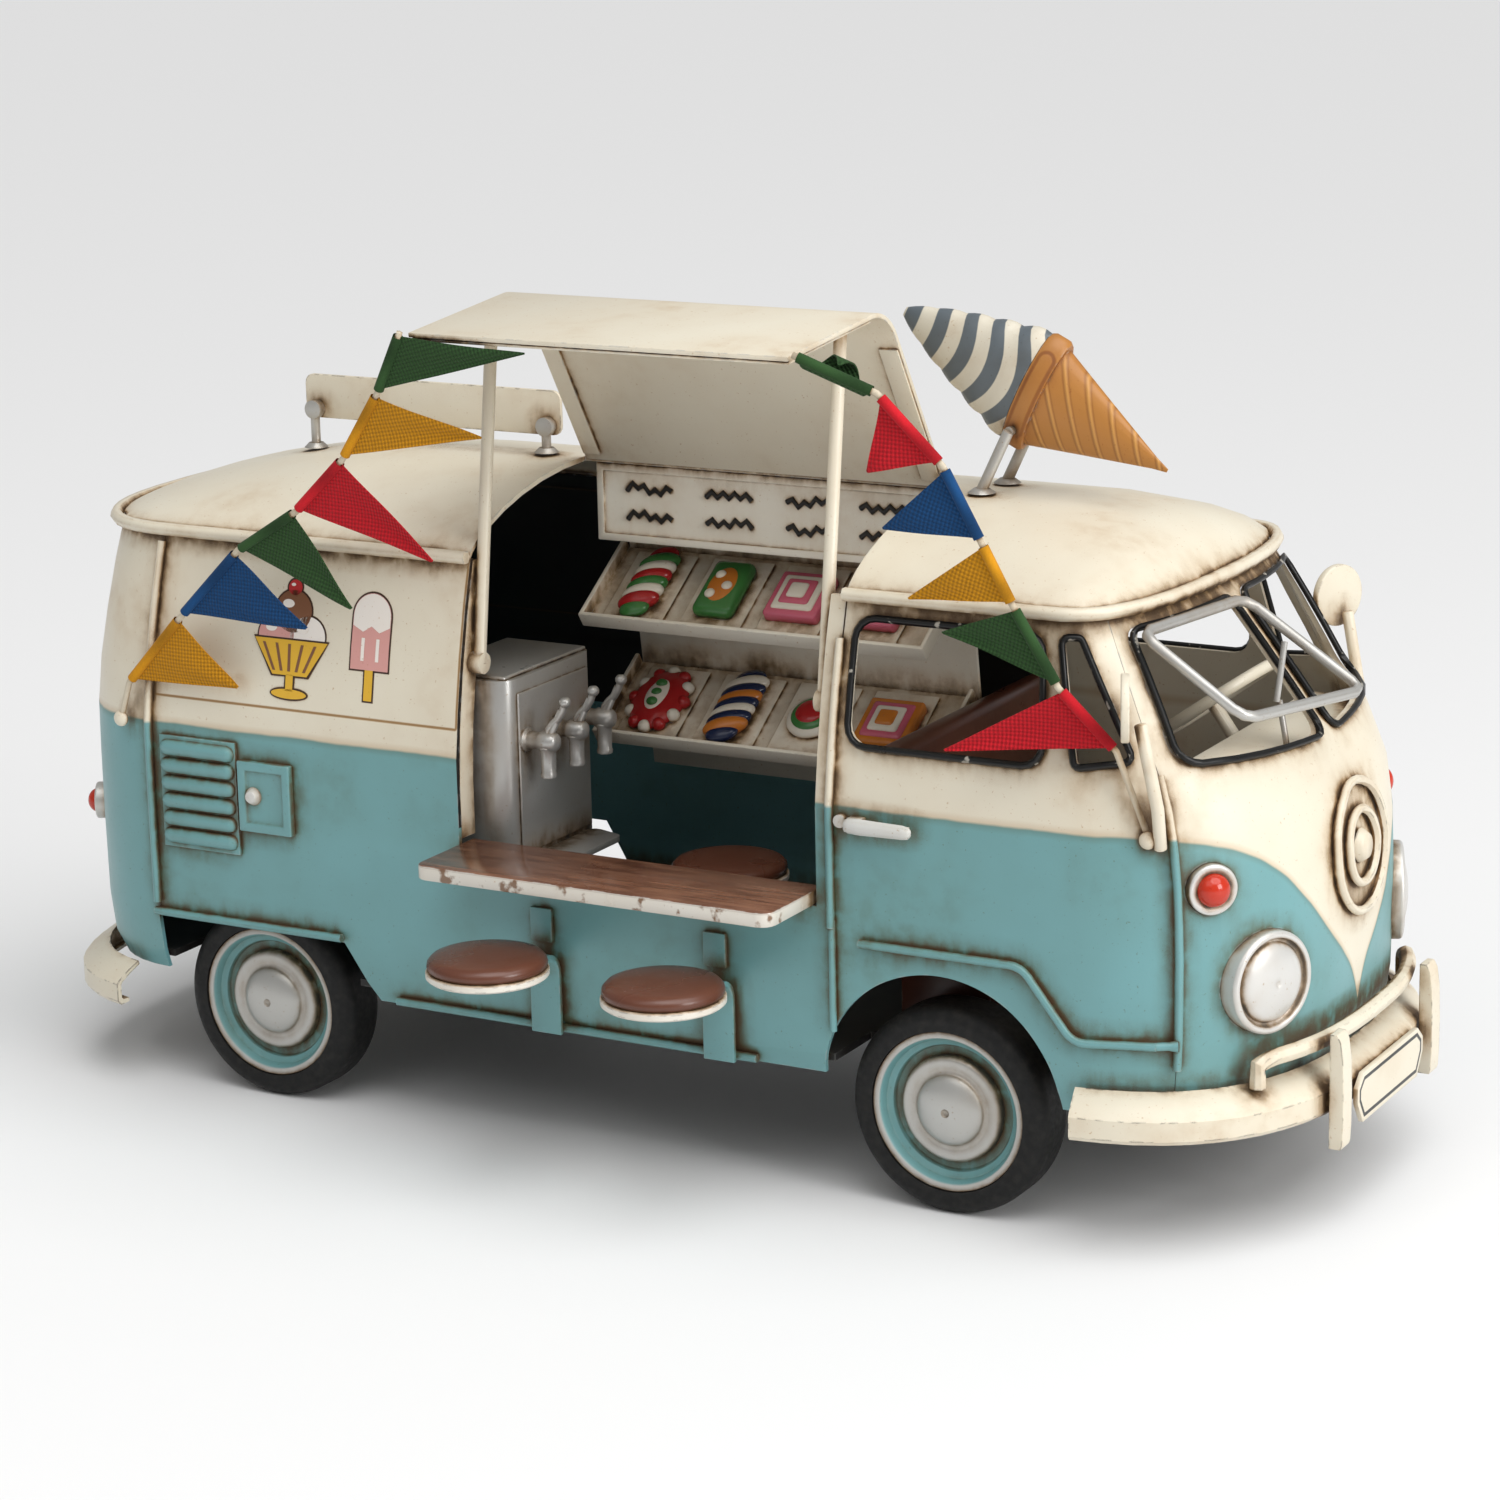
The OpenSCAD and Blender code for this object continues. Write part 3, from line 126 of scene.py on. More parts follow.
# Painted shade: where ambient occlusion finds creases and hollows, the wash colour is laid on, so the brown
# wash and the shade there are painted together.
hollow_shading = add(aged_shaded, "AmbientOcclusion", {"Distance": aged_shaded_in.outputs["Shade Reach"]}, samples=6)
crease_wash_and_shade = span(aged_shaded, hollow_shading.outputs["AO"], 0.95, 0.5)
streak = add(aged_shaded, "VectorMath", {0: place, 1: (500, 500, 90)}, operation="MULTIPLY").outputs[0]
crease_wash_and_shade = times(aged_shaded, crease_wash_and_shade, span(aged_shaded, patches, 0.3, 0.62, 0.5, 1.7))
crease_wash_and_shade = times(aged_shaded, crease_wash_and_shade, span(aged_shaded, noise(aged_shaded, streak, 1, 2), 0.3, 0.65, 0.55, 1.3))
crease_wash_and_shade = maths(aged_shaded, "MAXIMUM", crease_wash_and_shade, aged_shaded_in.outputs["Line"])
crease_wash_and_shade = times(aged_shaded, crease_wash_and_shade, aged_shaded_in.outputs["Wash And Shade Amount"], True)
stain = times(aged_shaded, span(aged_shaded, broad, 0.52, 0.75), span(aged_shaded, patches, 0.4, 0.65))
stain = times(aged_shaded, stain, times(aged_shaded, aged_shaded_in.outputs["Wash And Shade Amount"], 0.22))
speck = times(aged_shaded, span(aged_shaded, grain, 0.69, 0.74), 0.35)
soil_and_shade = maths(aged_shaded, "MAXIMUM", plus(aged_shaded, crease_wash_and_shade, stain, True), speck)
# A thin brown tint round the creases widens the same painted shade, together with the stains.
thin_wash = add(aged_shaded, "Mix", {0: 1.0, 6: aged_shaded_in.outputs["Paint"], 7: (0.58, 0.37, 0.18, 1)},
                data_type="RGBA", blend_type="MULTIPLY").outputs[2]
tint = blend(aged_shaded, span(aged_shaded, broad, 0.3, 0.7, 0.0, 0.16), aged_shaded_in.outputs["Paint"], thin_wash)
soiled_and_shaded = blend(aged_shaded, span(aged_shaded, soil_and_shade, 0.0, 0.6), tint, thin_wash)
soiled_and_shaded = blend(aged_shaded, span(aged_shaded, soil_and_shade, 0.35, 1.0), soiled_and_shaded, aged_shaded_in.outputs["Wash"])
flat_normal = add(aged_shaded, "NewGeometry").outputs["Normal"]
round_normal = add(aged_shaded, "Bevel", {"Radius": 0.5 * MM}, samples=4).outputs["Normal"]
turned_off = add(aged_shaded, "VectorMath", {0: flat_normal, 1: round_normal}, operation="DOT_PRODUCT")
edge = span(aged_shaded, turned_off.outputs["Value"], 0.985, 0.93)
edge = times(aged_shaded, edge, span(aged_shaded, noise(aged_shaded, place, 420, 3), 0.5, 0.57))
edge = times(aged_shaded, edge, aged_shaded_in.outputs["Chip Amount"], True)
rough = plus(aged_shaded, aged_shaded_in.outputs["Gloss"], span(aged_shaded, broad, 0.3, 0.7, -0.05, 0.08))
aged_shaded.links.new(blend(aged_shaded, edge, soiled_and_shaded, aged_shaded_in.outputs["Chip"]), aged_shaded_out.inputs["Color"])
aged_shaded.links.new(plus(aged_shaded, rough, times(aged_shaded, soil_and_shade, 0.3)), aged_shaded_out.inputs["Roughness"])
lumps = plus(aged_shaded, times(aged_shaded, patches, 0.7), times(aged_shaded, grain, 0.12))
groove = times(aged_shaded, aged_shaded_in.outputs["Line"], 1.2)
aged_shaded.links.new(minus(aged_shaded, lumps, groove), aged_shaded_out.inputs["Height"])


def new_material(name, metallic=0.0, coat=0.0):
    material = bpy.data.materials.new(name)
    material.use_nodes = True
    shader = material.node_tree.nodes["Principled BSDF"]
    shader.inputs["Metallic"].default_value = metallic
    shader.inputs["Coat Weight"].default_value = coat
    shader.inputs["Coat Roughness"].default_value = 0.25
    return material, material.node_tree, shader


def enamel(tree, shader, paint, wash=WASH_AND_SHADE, amount=0.8, reach=6.0 * MM, line=0.0, chip=TIN, chips=0.6,
           gloss=0.36):
    """Coats a shader with aged enamel: paint, a wash in the creases that also paints the shade there, chipped
    edges and a brushed relief.
    """
    coat = add(tree, "Group",
               {"Paint": paint, "Wash": wash, "Wash And Shade Amount": amount, "Shade Reach": reach, "Line": line,
                "Chip": chip, "Chip Amount": chips, "Gloss": gloss}, node_tree=aged_shaded)
    tree.links.new(coat.outputs["Color"], shader.inputs["Base Color"])
    tree.links.new(coat.outputs["Roughness"], shader.inputs["Roughness"])
    relief = add(tree, "Bump", {"Height": coat.outputs["Height"], "Strength": 0.5, "Distance": 0.12 * MM})
    tree.links.new(relief.outputs[0], shader.inputs["Normal"])


def painted(name, paint, metallic=0.0, **coating):
    material, tree, shader = new_material(name, metallic)
    enamel(tree, shader, paint, **coating)
    return material


def pick(piece):
    bpy.ops.object.select_all(action="DESELECT")
    piece.select_set(True)
    bpy.context.view_layer.objects.active = piece


def settle(piece, body, material=None, angle=40):
    """Shades a new piece, gives it its finish and fixes it to its body."""
    pick(piece)
    bpy.ops.object.shade_smooth_by_angle(angle=math.radians(angle))
    if material is not None:
        piece.data.materials.clear()
        piece.data.materials.append(material)
    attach(piece, body)
    return piece


def edit(piece):
    pick(piece)
    bpy.ops.object.mode_set(mode="EDIT")
    bpy.ops.mesh.select_all(action="SELECT")


def done():
    bpy.ops.object.mode_set(mode="OBJECT")


def apply_modifier(piece, kind, **settings):
    bpy.context.view_layer.objects.active = piece
    tool = piece.modifiers.new(kind.lower(), kind)
    for key, value in settings.items():
        setattr(tool, key, value)
    bpy.ops.object.modifier_apply(modifier=tool.name)


def new_object(name, data):
    piece = bpy.data.objects.new(name, data)
    bpy.context.scene.collection.objects.link(piece)
    return piece


def smooth_copy(node, material, body="bus", angle=40, bevel=0.0, rounds=0):
    """A merged copy of a solid, shaded smooth and with its sharp edges broken, that stands for it."""
    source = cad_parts[node]
    piece = new_object("finished_" + node, source.data.copy())
    edit(piece)
    bpy.ops.mesh.remove_doubles(threshold=0.000002)
    bpy.ops.mesh.customdata_custom_splitnormals_clear()
    if bevel:
        bpy.ops.mesh.dissolve_limited(angle_limit=math.radians(0.5))
    done()
    if bevel:
        apply_modifier(piece, "BEVEL", width=bevel, segments=2, limit_method="ANGLE",
                       angle_limit=math.radians(40), use_clamp_overlap=True)
    if rounds:
        apply_modifier(piece, "SUBSURF", levels=rounds, render_levels=rounds)
    settle(piece, body, material, angle)
    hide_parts(node)
    return piece


body_paint, tree, shader = new_material("two_tone_enamel")
SWEEP_WIDTH = 0.055
SWEEP_HEIGHT = 0.1
NOSE_X = 0.1
TAIL_X = -0.115
CAB_X = 0.056
COUNTER_SILL = 0.066
SIDE_Y = 0.04
# Painted light inside: near black for the shade behind the hatch, and a blue lighter than the outer blue for
# the light on the low walls.
INSIDE_SHADE_BLACK = (0.012, 0.011, 0.010, 1)
LIT_LOW_WALL_BLUE = (0.19, 0.43, 0.47, 1)
place = object_place(tree)
x, y, z = axes(tree, place)
sweep = add(tree, "FloatCurve", {"Value": maths(tree, "DIVIDE", maths(tree, "ABSOLUTE", y), SWEEP_WIDTH)})
points = sweep.mapping.curves[0].points
for share, height in ((0.047, 0.442), (0.147, 0.502), (0.267, 0.564), (0.438, 0.66), (0.551, 0.719),
                      (0.671, 0.763), (0.775, 0.787), (0.844, 0.799)):
    points.new(share, height)
points[0].location = (0.0, 0.385)
points[len(points) - 1].location = (1.0, 0.806)
sweep.mapping.update()
on_nose = maths(tree, "GREATER_THAN", x, NOSE_X)
nose_sweep = times(tree, sweep.outputs[0], SWEEP_HEIGHT)
belt = add(tree, "Mix", {0: on_nose, 2: BELT_HEIGHT, 3: nose_sweep}).outputs[0]


def brush_wobble(tree, place):
    """How far a hand-brushed paint edge strays up or down."""
    return span(tree, noise(tree, place, 90, 2), 0.3, 0.7, -0.2 * MM, 0.2 * MM)


above = minus(tree, plus(tree, z, brush_wobble(tree, place)), belt)
two_tone = blend(tree, span(tree, above, -0.25 * MM, 0.25 * MM), BLUE, CREAM)


def frame_line(tree, u, v, low, high, corner, width):
    """A thin pressed line round a rectangle with rounded corners, as a mask."""
    sides = []
    for value, a, b in ((u, low[0], high[0]), (v, low[1], high[1])):
        middle = maths(tree, "ABSOLUTE", minus(tree, value, (a + b) / 2))
        sides.append(minus(tree, middle, (b - a) / 2 - corner))
    outside = [maths(tree, "MAXIMUM", side, 0.0) for side in sides]
    square = [times(tree, side, side) for side in outside]
    far = maths(tree, "SQRT", plus(tree, square[0], square[1]))
    near = maths(tree, "MINIMUM", maths(tree, "MAXIMUM", sides[0], sides[1]), 0.0)
    gap = maths(tree, "ABSOLUTE", minus(tree, plus(tree, far, near), corner))
    return span(tree, gap, width, width * 0.4)


lap = frame_line(tree, x, z, (-104 * MM, 86.3 * MM), (-28.3 * MM, 126 * MM), 0.4 * MM, 0.4 * MM)
lap = times(tree, lap, maths(tree, "LESS_THAN", y, -SIDE_Y))
pressed = frame_line(tree, x, z, (-101 * MM, 86.3 * MM), (-30.5 * MM, 116.5 * MM), 3 * MM, 0.45 * MM)
pressed = times(tree, pressed, maths(tree, "GREATER_THAN", y, SIDE_Y))
pressed = times(tree, maths(tree, "MAXIMUM", pressed, lap), 0.7)
lid = frame_line(tree, y, z, (-30 * MM, 36 * MM), (30 * MM, 76 * MM), 6 * MM, 0.5 * MM)
lid = times(tree, lid, maths(tree, "LESS_THAN", x, TAIL_X))
step = span(tree, maths(tree, "ABSOLUTE", above), 1.5 * MM, 0.1 * MM, 0.0, 0.28)
line = maths(tree, "MAXIMUM", maths(tree, "MAXIMUM", pressed, lid), step)
facing = axes(tree, add(tree, "NewGeometry").outputs["Normal"])
outward = plus(tree, times(tree, facing[0], x), times(tree, facing[1], y))
inside = maths(tree, "LESS_THAN", outward, -0.002)
# Inside faces: near black painted as shade behind the hatch above the counter sill, the lighter blue painted as
# the light below it, and cream in the cab.
lining_with_painted_light = blend(tree, maths(tree, "GREATER_THAN", x, CAB_X), INSIDE_SHADE_BLACK, CREAM)
low_inside = times(tree, maths(tree, "LESS_THAN", z, COUNTER_SILL), maths(tree, "LESS_THAN", x, CAB_X))
lining_with_painted_light = blend(tree, low_inside, lining_with_painted_light, LIT_LOW_WALL_BLUE)
paint = blend(tree, inside, two_tone, lining_with_painted_light)
enamel(tree, shader, paint, line=line, amount=0.85, reach=4.5 * MM, chips=0.5)
for node in ("nose_panel", "door_right", "door_left", "side_right", "side_left", "rear_panel"):
    smooth_copy(node, body_paint)

# Roof, gutter and the turned-up awning: cream enamelled tin, the awning cut from the roof sheet and
# bent over, its edges folded back and chipped to the dark metal.
cream_paint = painted("cream_enamel", CREAM, chips=0.75)
smooth_copy("roof", cream_paint, angle=50)
smooth_copy("gutter", cream_paint, angle=80)
smooth_copy("awning", cream_paint, bevel=0.25 * MM, angle=30)
smooth_copy("hatch_posts", cream_paint, bevel=0.2 * MM)
smooth_copy("prop_rods", cream_paint, bevel=0.25 * MM)

# Folded edges of the awning: narrow tin strips soldered inside both ends and along the outer edge,
# with a ledge at the foot where the sheet was bent up from the roof.
def block(name, low, high, bevel, turn=None, at=None, segments=2):
    """A small bar or plate with broken edges between two corners, turned about a point if asked."""
    bpy.ops.object.select_all(action="DESELECT")
    bpy.ops.mesh.primitive_cube_add(size=1)
    piece = bpy.context.active_object
    piece.name = name
    size = [b - a for a, b in zip(low, high)]
    middle = Vector([(a + b) / 2 for a, b in zip(low, high)])
    piece.data.transform(Matrix.Translation(middle) @ Matrix.Diagonal((*size, 1)))
    if bevel:
        apply_modifier(piece, "BEVEL", width=bevel, segments=segments)
    if turn is not None:
        piece.data.transform(Matrix.Translation(at) @ turn @ Matrix.Translation(-Vector(at)))
    return piece


def joined(name, pieces):
    bpy.ops.object.select_all(action="DESELECT")
    for piece in pieces:
        piece.select_set(True)
    bpy.context.view_layer.objects.active = pieces[0]
    bpy.ops.object.join()
    pieces[0].name = name
    return pieces[0]


def strip(xs, ys, zs, turn, at):
    """A tin strip: limits along x, and along y and z in millimetres from the point that it is turned about."""
    low = (xs[0], at.y + ys[0] * MM, at.z + zs[0] * MM)
    high = (xs[1], at.y + ys[1] * MM, at.z + zs[1] * MM)
    return block("strip", low, high, 0.15 * MM, turn, at)


awning_low, awning_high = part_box("awning")
lean, dip = math.radians(32), math.radians(5.5)
back_turn, flat_turn = Matrix.Rotation(lean, 4, "X"), Matrix.Rotation(dip, 4, "X")
fold_y, fold_z = -0.2, 133.7
back_height, bend_radius = 39, 11
foot = Vector((0, fold_y, fold_z)) * MM + Vector((0, -math.cos(lean), -math.sin(lean))) * MM
bend = Vector((0, fold_y - back_height * math.sin(lean) - bend_radius * math.cos(lean),
               fold_z + back_height * math.cos(lean) - bend_radius * math.sin(lean))) * MM
under = bend + Vector((0, -math.sin(dip), math.cos(dip))) * (bend_radius - 1) * MM
strips = []
for end, side in ((awning_low[0], 1), (awning_high[0], -1)):
    xs = sorted((end + side * 0.3 * MM, end + side * 4.4 * MM))
    strips.append(strip(xs, (-0.55, 0.02), (2, 36), back_turn, foot))
    strips.append(strip(xs, (-33, 0), (-0.55, 0.02), flat_turn, under))
xs = (awning_low[0] + 0.3 * MM, awning_high[0] - 0.3 * MM)
strips.append(strip(xs, (-33.6, -30.4), (-0.75, -0.2), flat_turn, under))
settle(joined("awning_strips", strips), "bus", cream_paint)

# Painted picture on the serving side: a sundae glass with three scoops and an ice lolly, brushed on the
# cream panel behind the hatch in yellow, pink, white and brown, each shape with a dark outline.
SIDE_WIDTHS = ((80, 53), (90, 51.7), (100.5, 49.824), (111, 47.479), (120, 45))
shapes = []


def half_width(height):
    """Half the body's width at a height above the belt, in millimetres."""
    for low, high in zip(SIDE_WIDTHS, SIDE_WIDTHS[1:]):
        if height <= high[0]:
            return low[1] + (high[1] - low[1]) * (height - low[0]) / (high[0] - low[0])
    return SIDE_WIDTHS[-1][1]


def brush(name, outline, lift, material):
    """A thin painted shape on the right side of the body from an outline in x and z, in millimetres."""
    mesh = bpy.data.meshes.new(name)
    mesh.from_pydata([(x, 0, z) for x, z in outline], [], [list(range(len(outline)))])
    piece = new_object(name, mesh)
    for height, _ in SIDE_WIDTHS[1:-1]:
        edit(piece)
        bpy.ops.mesh.bisect(plane_co=(0, 0, height), plane_no=(0, 0, 1))
        done()
    for vertex in piece.data.vertices:
        x, _, z = vertex.co
        vertex.co = (x * MM, -(half_width(z) + lift) * MM, z * MM)
    edit(piece)
    bpy.ops.mesh.quads_convert_to_tris()
    done()
    if sum(face.normal.y * face.area for face in piece.data.polygons) > 0:
        piece.data.flip_normals()
    piece.data.materials.append(material)
    shapes.append(piece)


def bar(left, right, top, bottom):
    return [(left, top), (right, top), (right, bottom), (left, bottom)]


def disc(x, z, rx, rz, start=0, stop=360, steps=28):
    count = steps + (1 if stop - start < 360 else 0)
    turns = [math.radians(start + (stop - start) * i / steps) for i in range(count)]
    return [(x + rx * math.cos(t), z + rz * math.sin(t)) for t in turns]


def picture_paint(name, colour):
    return painted(name, colour, amount=0.25, chips=0.0, gloss=0.42, reach=1.0 * MM)


outline_brown = picture_paint("picture_outline", (0.045, 0.02, 0.012, 1))
picture_yellow = picture_paint("picture_yellow", (0.72, 0.42, 0.03, 1))
picture_white = picture_paint("picture_white", (0.85, 0.80, 0.74, 1))
picture_pink = picture_paint("picture_pink", (0.66, 0.33, 0.30, 1))
picture_brown = picture_paint("picture_brown", (0.20, 0.085, 0.04, 1))
picture_red = picture_paint("picture_red", (0.48, 0.03, 0.03, 1))
OUTLINE = 0.35
scoops = ((-73.4, 101.4, 4.4, 4.2, picture_pink), (-65.6, 101.4, 4.4, 4.2, picture_white),
          (-69.5, 106.4, 4.5, 4.3, picture_brown), (-69.5, 111.2, 1.7, 1.6, picture_red))
for x, z, rx, rz, material in scoops:
    brush("scoop_line", disc(x, z, rx + OUTLINE, rz + OUTLINE), 0.05, outline_brown)
    brush("scoop", disc(x, z, rx, rz), 0.09, material)
    brush("scoop_light", disc(x - rx * 0.3, z + rz * 0.35, rx * 0.32, rz * 0.2), 0.12, picture_white)
for grow, lift, material in ((OUTLINE, 0.13, outline_brown), (0, 0.17, picture_yellow)):
    brush("glass_bowl", [(-78.6 - grow, 100.6 + grow), (-60.4 + grow, 100.6 + grow),
                         (-65.2 + grow, 93.4 - grow), (-73.8 - grow, 93.4 - grow)], lift, material)
    brush("glass_stem", bar(-70.4 - grow, -68.6 + grow, 93.6, 90.2), lift, material)
    brush("glass_foot", disc(-69.5, 89.6, 4.4 + grow, 1.0 + grow), lift, material)
for i in range(5):
    x = -76.6 + i * 3.2
    slant = (x + 69.9) * 0.42
    brush("glass_stripe", [(x, 99.8), (x + 0.7, 99.8), (x + 0.7 - slant, 94.2), (x - slant, 94.2)], 0.2,
          picture_brown)
for grow, lift, fill, stick in ((OUTLINE, 0.05, outline_brown, outline_brown),
                                (0, 0.09, picture_pink, picture_yellow)):
    foot_line = [(-54.6 - grow, 96.2 - grow), (-45.4 + grow, 96.2 - grow)]
    brush("lolly", foot_line + disc(-50, 107, 4.6 + grow, 4.6 + grow, 0, 180, 18), lift, fill)
    brush("lolly_stick", bar(-51 - grow, -49 + grow, 96.2, 90 - grow), lift, stick)
drips = [(-54.5, 105), (-52, 103.8), (-50, 105), (-48, 103.8), (-45.5, 105)]
brush("lolly_cap", drips + disc(-50, 107, 4.5, 4.5, 0, 180, 18), 0.12, picture_white)
for x in (-52.2, -48.6):
    brush("lolly_groove", bar(x, x + 0.8, 98, 102.6), 0.12, picture_white)
settle(joined("painted_picture", shapes), "bus", None, 30)

# Seam beads, louvres, flap, handles and stool brackets: wire and strip soldered on before painting and
# brushed over in the blue of the lower body; the levers and the flap's knob are picked out in silver.
lower_paint, tree, shader = new_material("trim_enamel")
place = object_place(tree)
height = plus(tree, axes(tree, place)[2], brush_wobble(tree, place))
tone = span(tree, height, BELT_HEIGHT - 0.3 * MM, BELT_HEIGHT + 0.3 * MM)
enamel(tree, shader, blend(tree, tone, BLUE, CREAM), chips=0.5, amount=0.8)
smooth_copy("seam_beads", lower_paint, angle=80)


def stroke(name, points, radius, taper=None):
    """A round line through points, made a mesh; taper gives each point's share of the radius."""
    curve = bpy.data.curves.new(name, "CURVE")
    curve.dimensions = "3D"
    curve.bevel_depth = radius
    curve.bevel_resolution = 2
    spline = curve.splines.new("POLY")
    spline.points.add(len(points) - 1)
    for point, at, share in zip(spline.points, points, taper or [1] * len(points)):
        point.co = (*at, 1)
        point.radius = share
    pick(new_object(name, curve))
    bpy.ops.object.convert(target="MESH")
    return bpy.context.active_object


def tapered(name, shape, radius, flat, at):
    """A rib along x, from pairs of place and share of its radius, flattened towards the sheet."""
    piece = stroke(name, [(x * MM, 0, 0) for x, _ in shape], radius, [share for _, share in shape])
    piece.data.transform(Matrix.Translation(at) @ Matrix.Diagonal((1, flat, 1, 1)))
    return piece


bead_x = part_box("door_right")[0][0]
beads = [stroke("door_bead", [(bead_x, -53.75 * MM, z * MM) for z in (58, 52, 46, 40, 35.5)], 0.75 * MM)]
bead_run = ((123.8, 50.6), (126, 49.2), (127.5, 48.4))
for side in (-1, 1):
    points = [(x * MM, side * y * MM, 40.9 * MM) for x, y in bead_run]
    beads.append(stroke("bead_end", points, 0.85 * MM, (1, 1, 1.5)))
settle(joined("door_beads", beads), "bus", lower_paint, 80)
trim_paint, tree, shader = new_material("trim_and_handles")
knob_x, knob_z, knob_radius = -78 * MM, 67.4 * MM, 2.1 * MM
x, _, z = axes(tree, object_place(tree))
off_knob = [minus(tree, x, knob_x), minus(tree, z, knob_z)]
off_knob = plus(tree, *[times(tree, part, part) for part in off_knob])
on_knob = maths(tree, "LESS_THAN", off_knob, knob_radius ** 2)
silvered = maths(tree, "MAXIMUM", maths(tree, "GREATER_THAN", x, 0.0), on_knob)
paint = blend(tree, silvered, BLUE, (0.62, 0.62, 0.59, 1))
enamel(tree, shader, paint, chips=0.5, amount=0.85, reach=3 * MM)
smooth_copy("side_trim", trim_paint, bevel=0.3 * MM)
side_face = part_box("side_trim")[1][1] - 3.4 * MM
rib_shape = ((-101.7, 0.05), (-101.5, 0.5), (-101, 0.82), (-100, 1), (-84.5, 1), (-83.5, 0.82), (-83, 0.5),
             (-82.8, 0.05))
rib_low, rib_pitch = 56.6, 3.8
pressings = []
for side in (-1, 1):
    for i in range(6):
        at = (0, side * (side_face + 0.85 * MM), (rib_low + rib_pitch * i) * MM)
        pressings.append(tapered("louvre_rib", rib_shape, 1.8 * MM, 0.75, at))
flap = block("flap_pressing", (-81.7 * MM, -side_face - 1.7 * MM, 59.7 * MM),
             (-68.5 * MM, -side_face, 74.8 * MM), 0)
edit(flap)
bpy.ops.mesh.select_mode(type="FACE")
bpy.ops.mesh.select_all(action="DESELECT")
done()
for face in flap.data.polygons:
    face.select = face.normal.y < -0.9
bpy.ops.object.mode_set(mode="EDIT")
bpy.ops.mesh.inset(thickness=1.9 * MM)
bpy.ops.mesh.inset(thickness=0.3 * MM, depth=-0.6 * MM)
bpy.ops.mesh.select_mode(type="VERT")
done()
apply_modifier(flap, "BEVEL", width=0.6 * MM, segments=3, use_clamp_overlap=True, limit_method="ANGLE",
               angle_limit=math.radians(20))
settle(joined("pressed_louvres", pressings + [flap]), "bus", lower_paint, 60)
lever_shape = ((61.6, 0.3), (61.9, 0.75), (62.6, 1.0), (65, 1.08), (70, 1.0), (74.2, 0.95), (75.4, 0.8),
               (75.9, 0.45), (76.05, 0.1))
levers = [tapered("handle_lever", lever_shape, 1.5 * MM, 0.68, (0, side * (side_face + 2.8 * MM), 77.8 * MM))
          for side in (-1, 1)]
settle(joined("door_levers", levers), "bus", trim_paint, 60)
smooth_copy("stool_brackets", lower_paint, bevel=0.2 * MM)

# Floor, axles and bumper irons: a flat tin floor sprayed black, soldered inside the body's lower edge.
# The axle rods in their hanger plates and the irons that carry the bumpers are bare steel.
black_paint = painted("flat_black", (0.02, 0.02, 0.02, 1), wash=(0.05, 0.035, 0.02, 1), amount=0.3, chips=0.2,
                      gloss=0.6)
steel = painted("drawn_steel", (0.42, 0.42, 0.42, 1), metallic=0.9, amount=0.5, chips=0.2, gloss=0.35)
smooth_copy("floor_pan", black_paint)
smooth_copy("axles", steel)
smooth_copy("bumper_irons", steel, bevel=0.2 * MM)

# Wheels: plain black moulded tyres pressed on turned rims, which turn on the axle rods. The rims are blue
# with a rolled silver edge; a hubcap, a pressed dome in rubbed silver with a groove and a dimple, is
# glued to each.
rubber, tree, shader = new_material("black_tyre")
place = object_place(tree)
dust = span(tree, noise(tree, place, 500, 4), 0.45, 0.75)
dusty = blend(tree, dust, (0.006, 0.006, 0.006, 1), (0.016, 0.015, 0.013, 1))
tree.links.new(dusty, shader.inputs["Base Color"])
tree.links.new(span(tree, noise(tree, place, 900, 2), 0.3, 0.7, 0.5, 0.66), shader.inputs["Roughness"])
shader.inputs["Specular IOR Level"].default_value = 0.3
relief = add(tree, "Bump", {"Height": noise(tree, place, 2500, 2), "Strength": 0.3, "Distance": 0.08 * MM})
tree.links.new(relief.outputs[0], shader.inputs["Normal"])
silver_paint = painted("rubbed_silver", (0.50, 0.50, 0.48, 1), metallic=0.55, amount=0.75, chips=0.2,
                       gloss=0.34, wash=(0.09, 0.075, 0.055, 1))
AXLES = (("front", 80 * MM), ("rear", -80 * MM))
AXLE_HEIGHT = 21 * MM
CAP_FACE = 46.3 * MM
rim_paint = {}
for end, axle_x in AXLES:
    rim_paint[end], tree, shader = new_material("rim_enamel_" + end)
    x, _, z = axes(tree, object_place(tree))
    off = [minus(tree, x, axle_x), minus(tree, z, AXLE_HEIGHT)]
    radius = maths(tree, "SQRT", plus(tree, *[times(tree, part, part) for part in off]))
    bright = span(tree, radius, 14.6 * MM, 14.9 * MM)
    paint = blend(tree, bright, BLUE, (0.48, 0.48, 0.46, 1))
    enamel(tree, shader, paint, amount=0.9, chips=0.3, reach=2 * MM)


def turned(name, profile, matrix, steps=64, size=1.0):
    """A turned piece: a profile of radius and height pairs, in millimetres, spun round its axis."""
    mesh = bpy.data.meshes.new(name)
    mesh.from_pydata([(r * size * MM, 0, h * size * MM) for r, h in profile],
                     [(i, i + 1) for i in range(len(profile) - 1)], [])
    piece = new_object(name, mesh)
    edit(piece)
    bpy.ops.mesh.spin(steps=steps, angle=2 * math.pi, center=(0, 0, 0), axis=(0, 0, 1))
    bpy.ops.mesh.select_all(action="SELECT")
    bpy.ops.mesh.remove_doubles(threshold=0.000004)
    bpy.ops.mesh.normals_make_consistent(inside=False)
    done()
    piece.data.transform(matrix)
    return piece


def arc(middle, radius, start, stop, steps):
    turns = [math.radians(start + (stop - start) * i / steps) for i in range(steps + 1)]
    return [(middle[0] + radius * math.cos(t), middle[1] + radius * math.sin(t)) for t in turns]


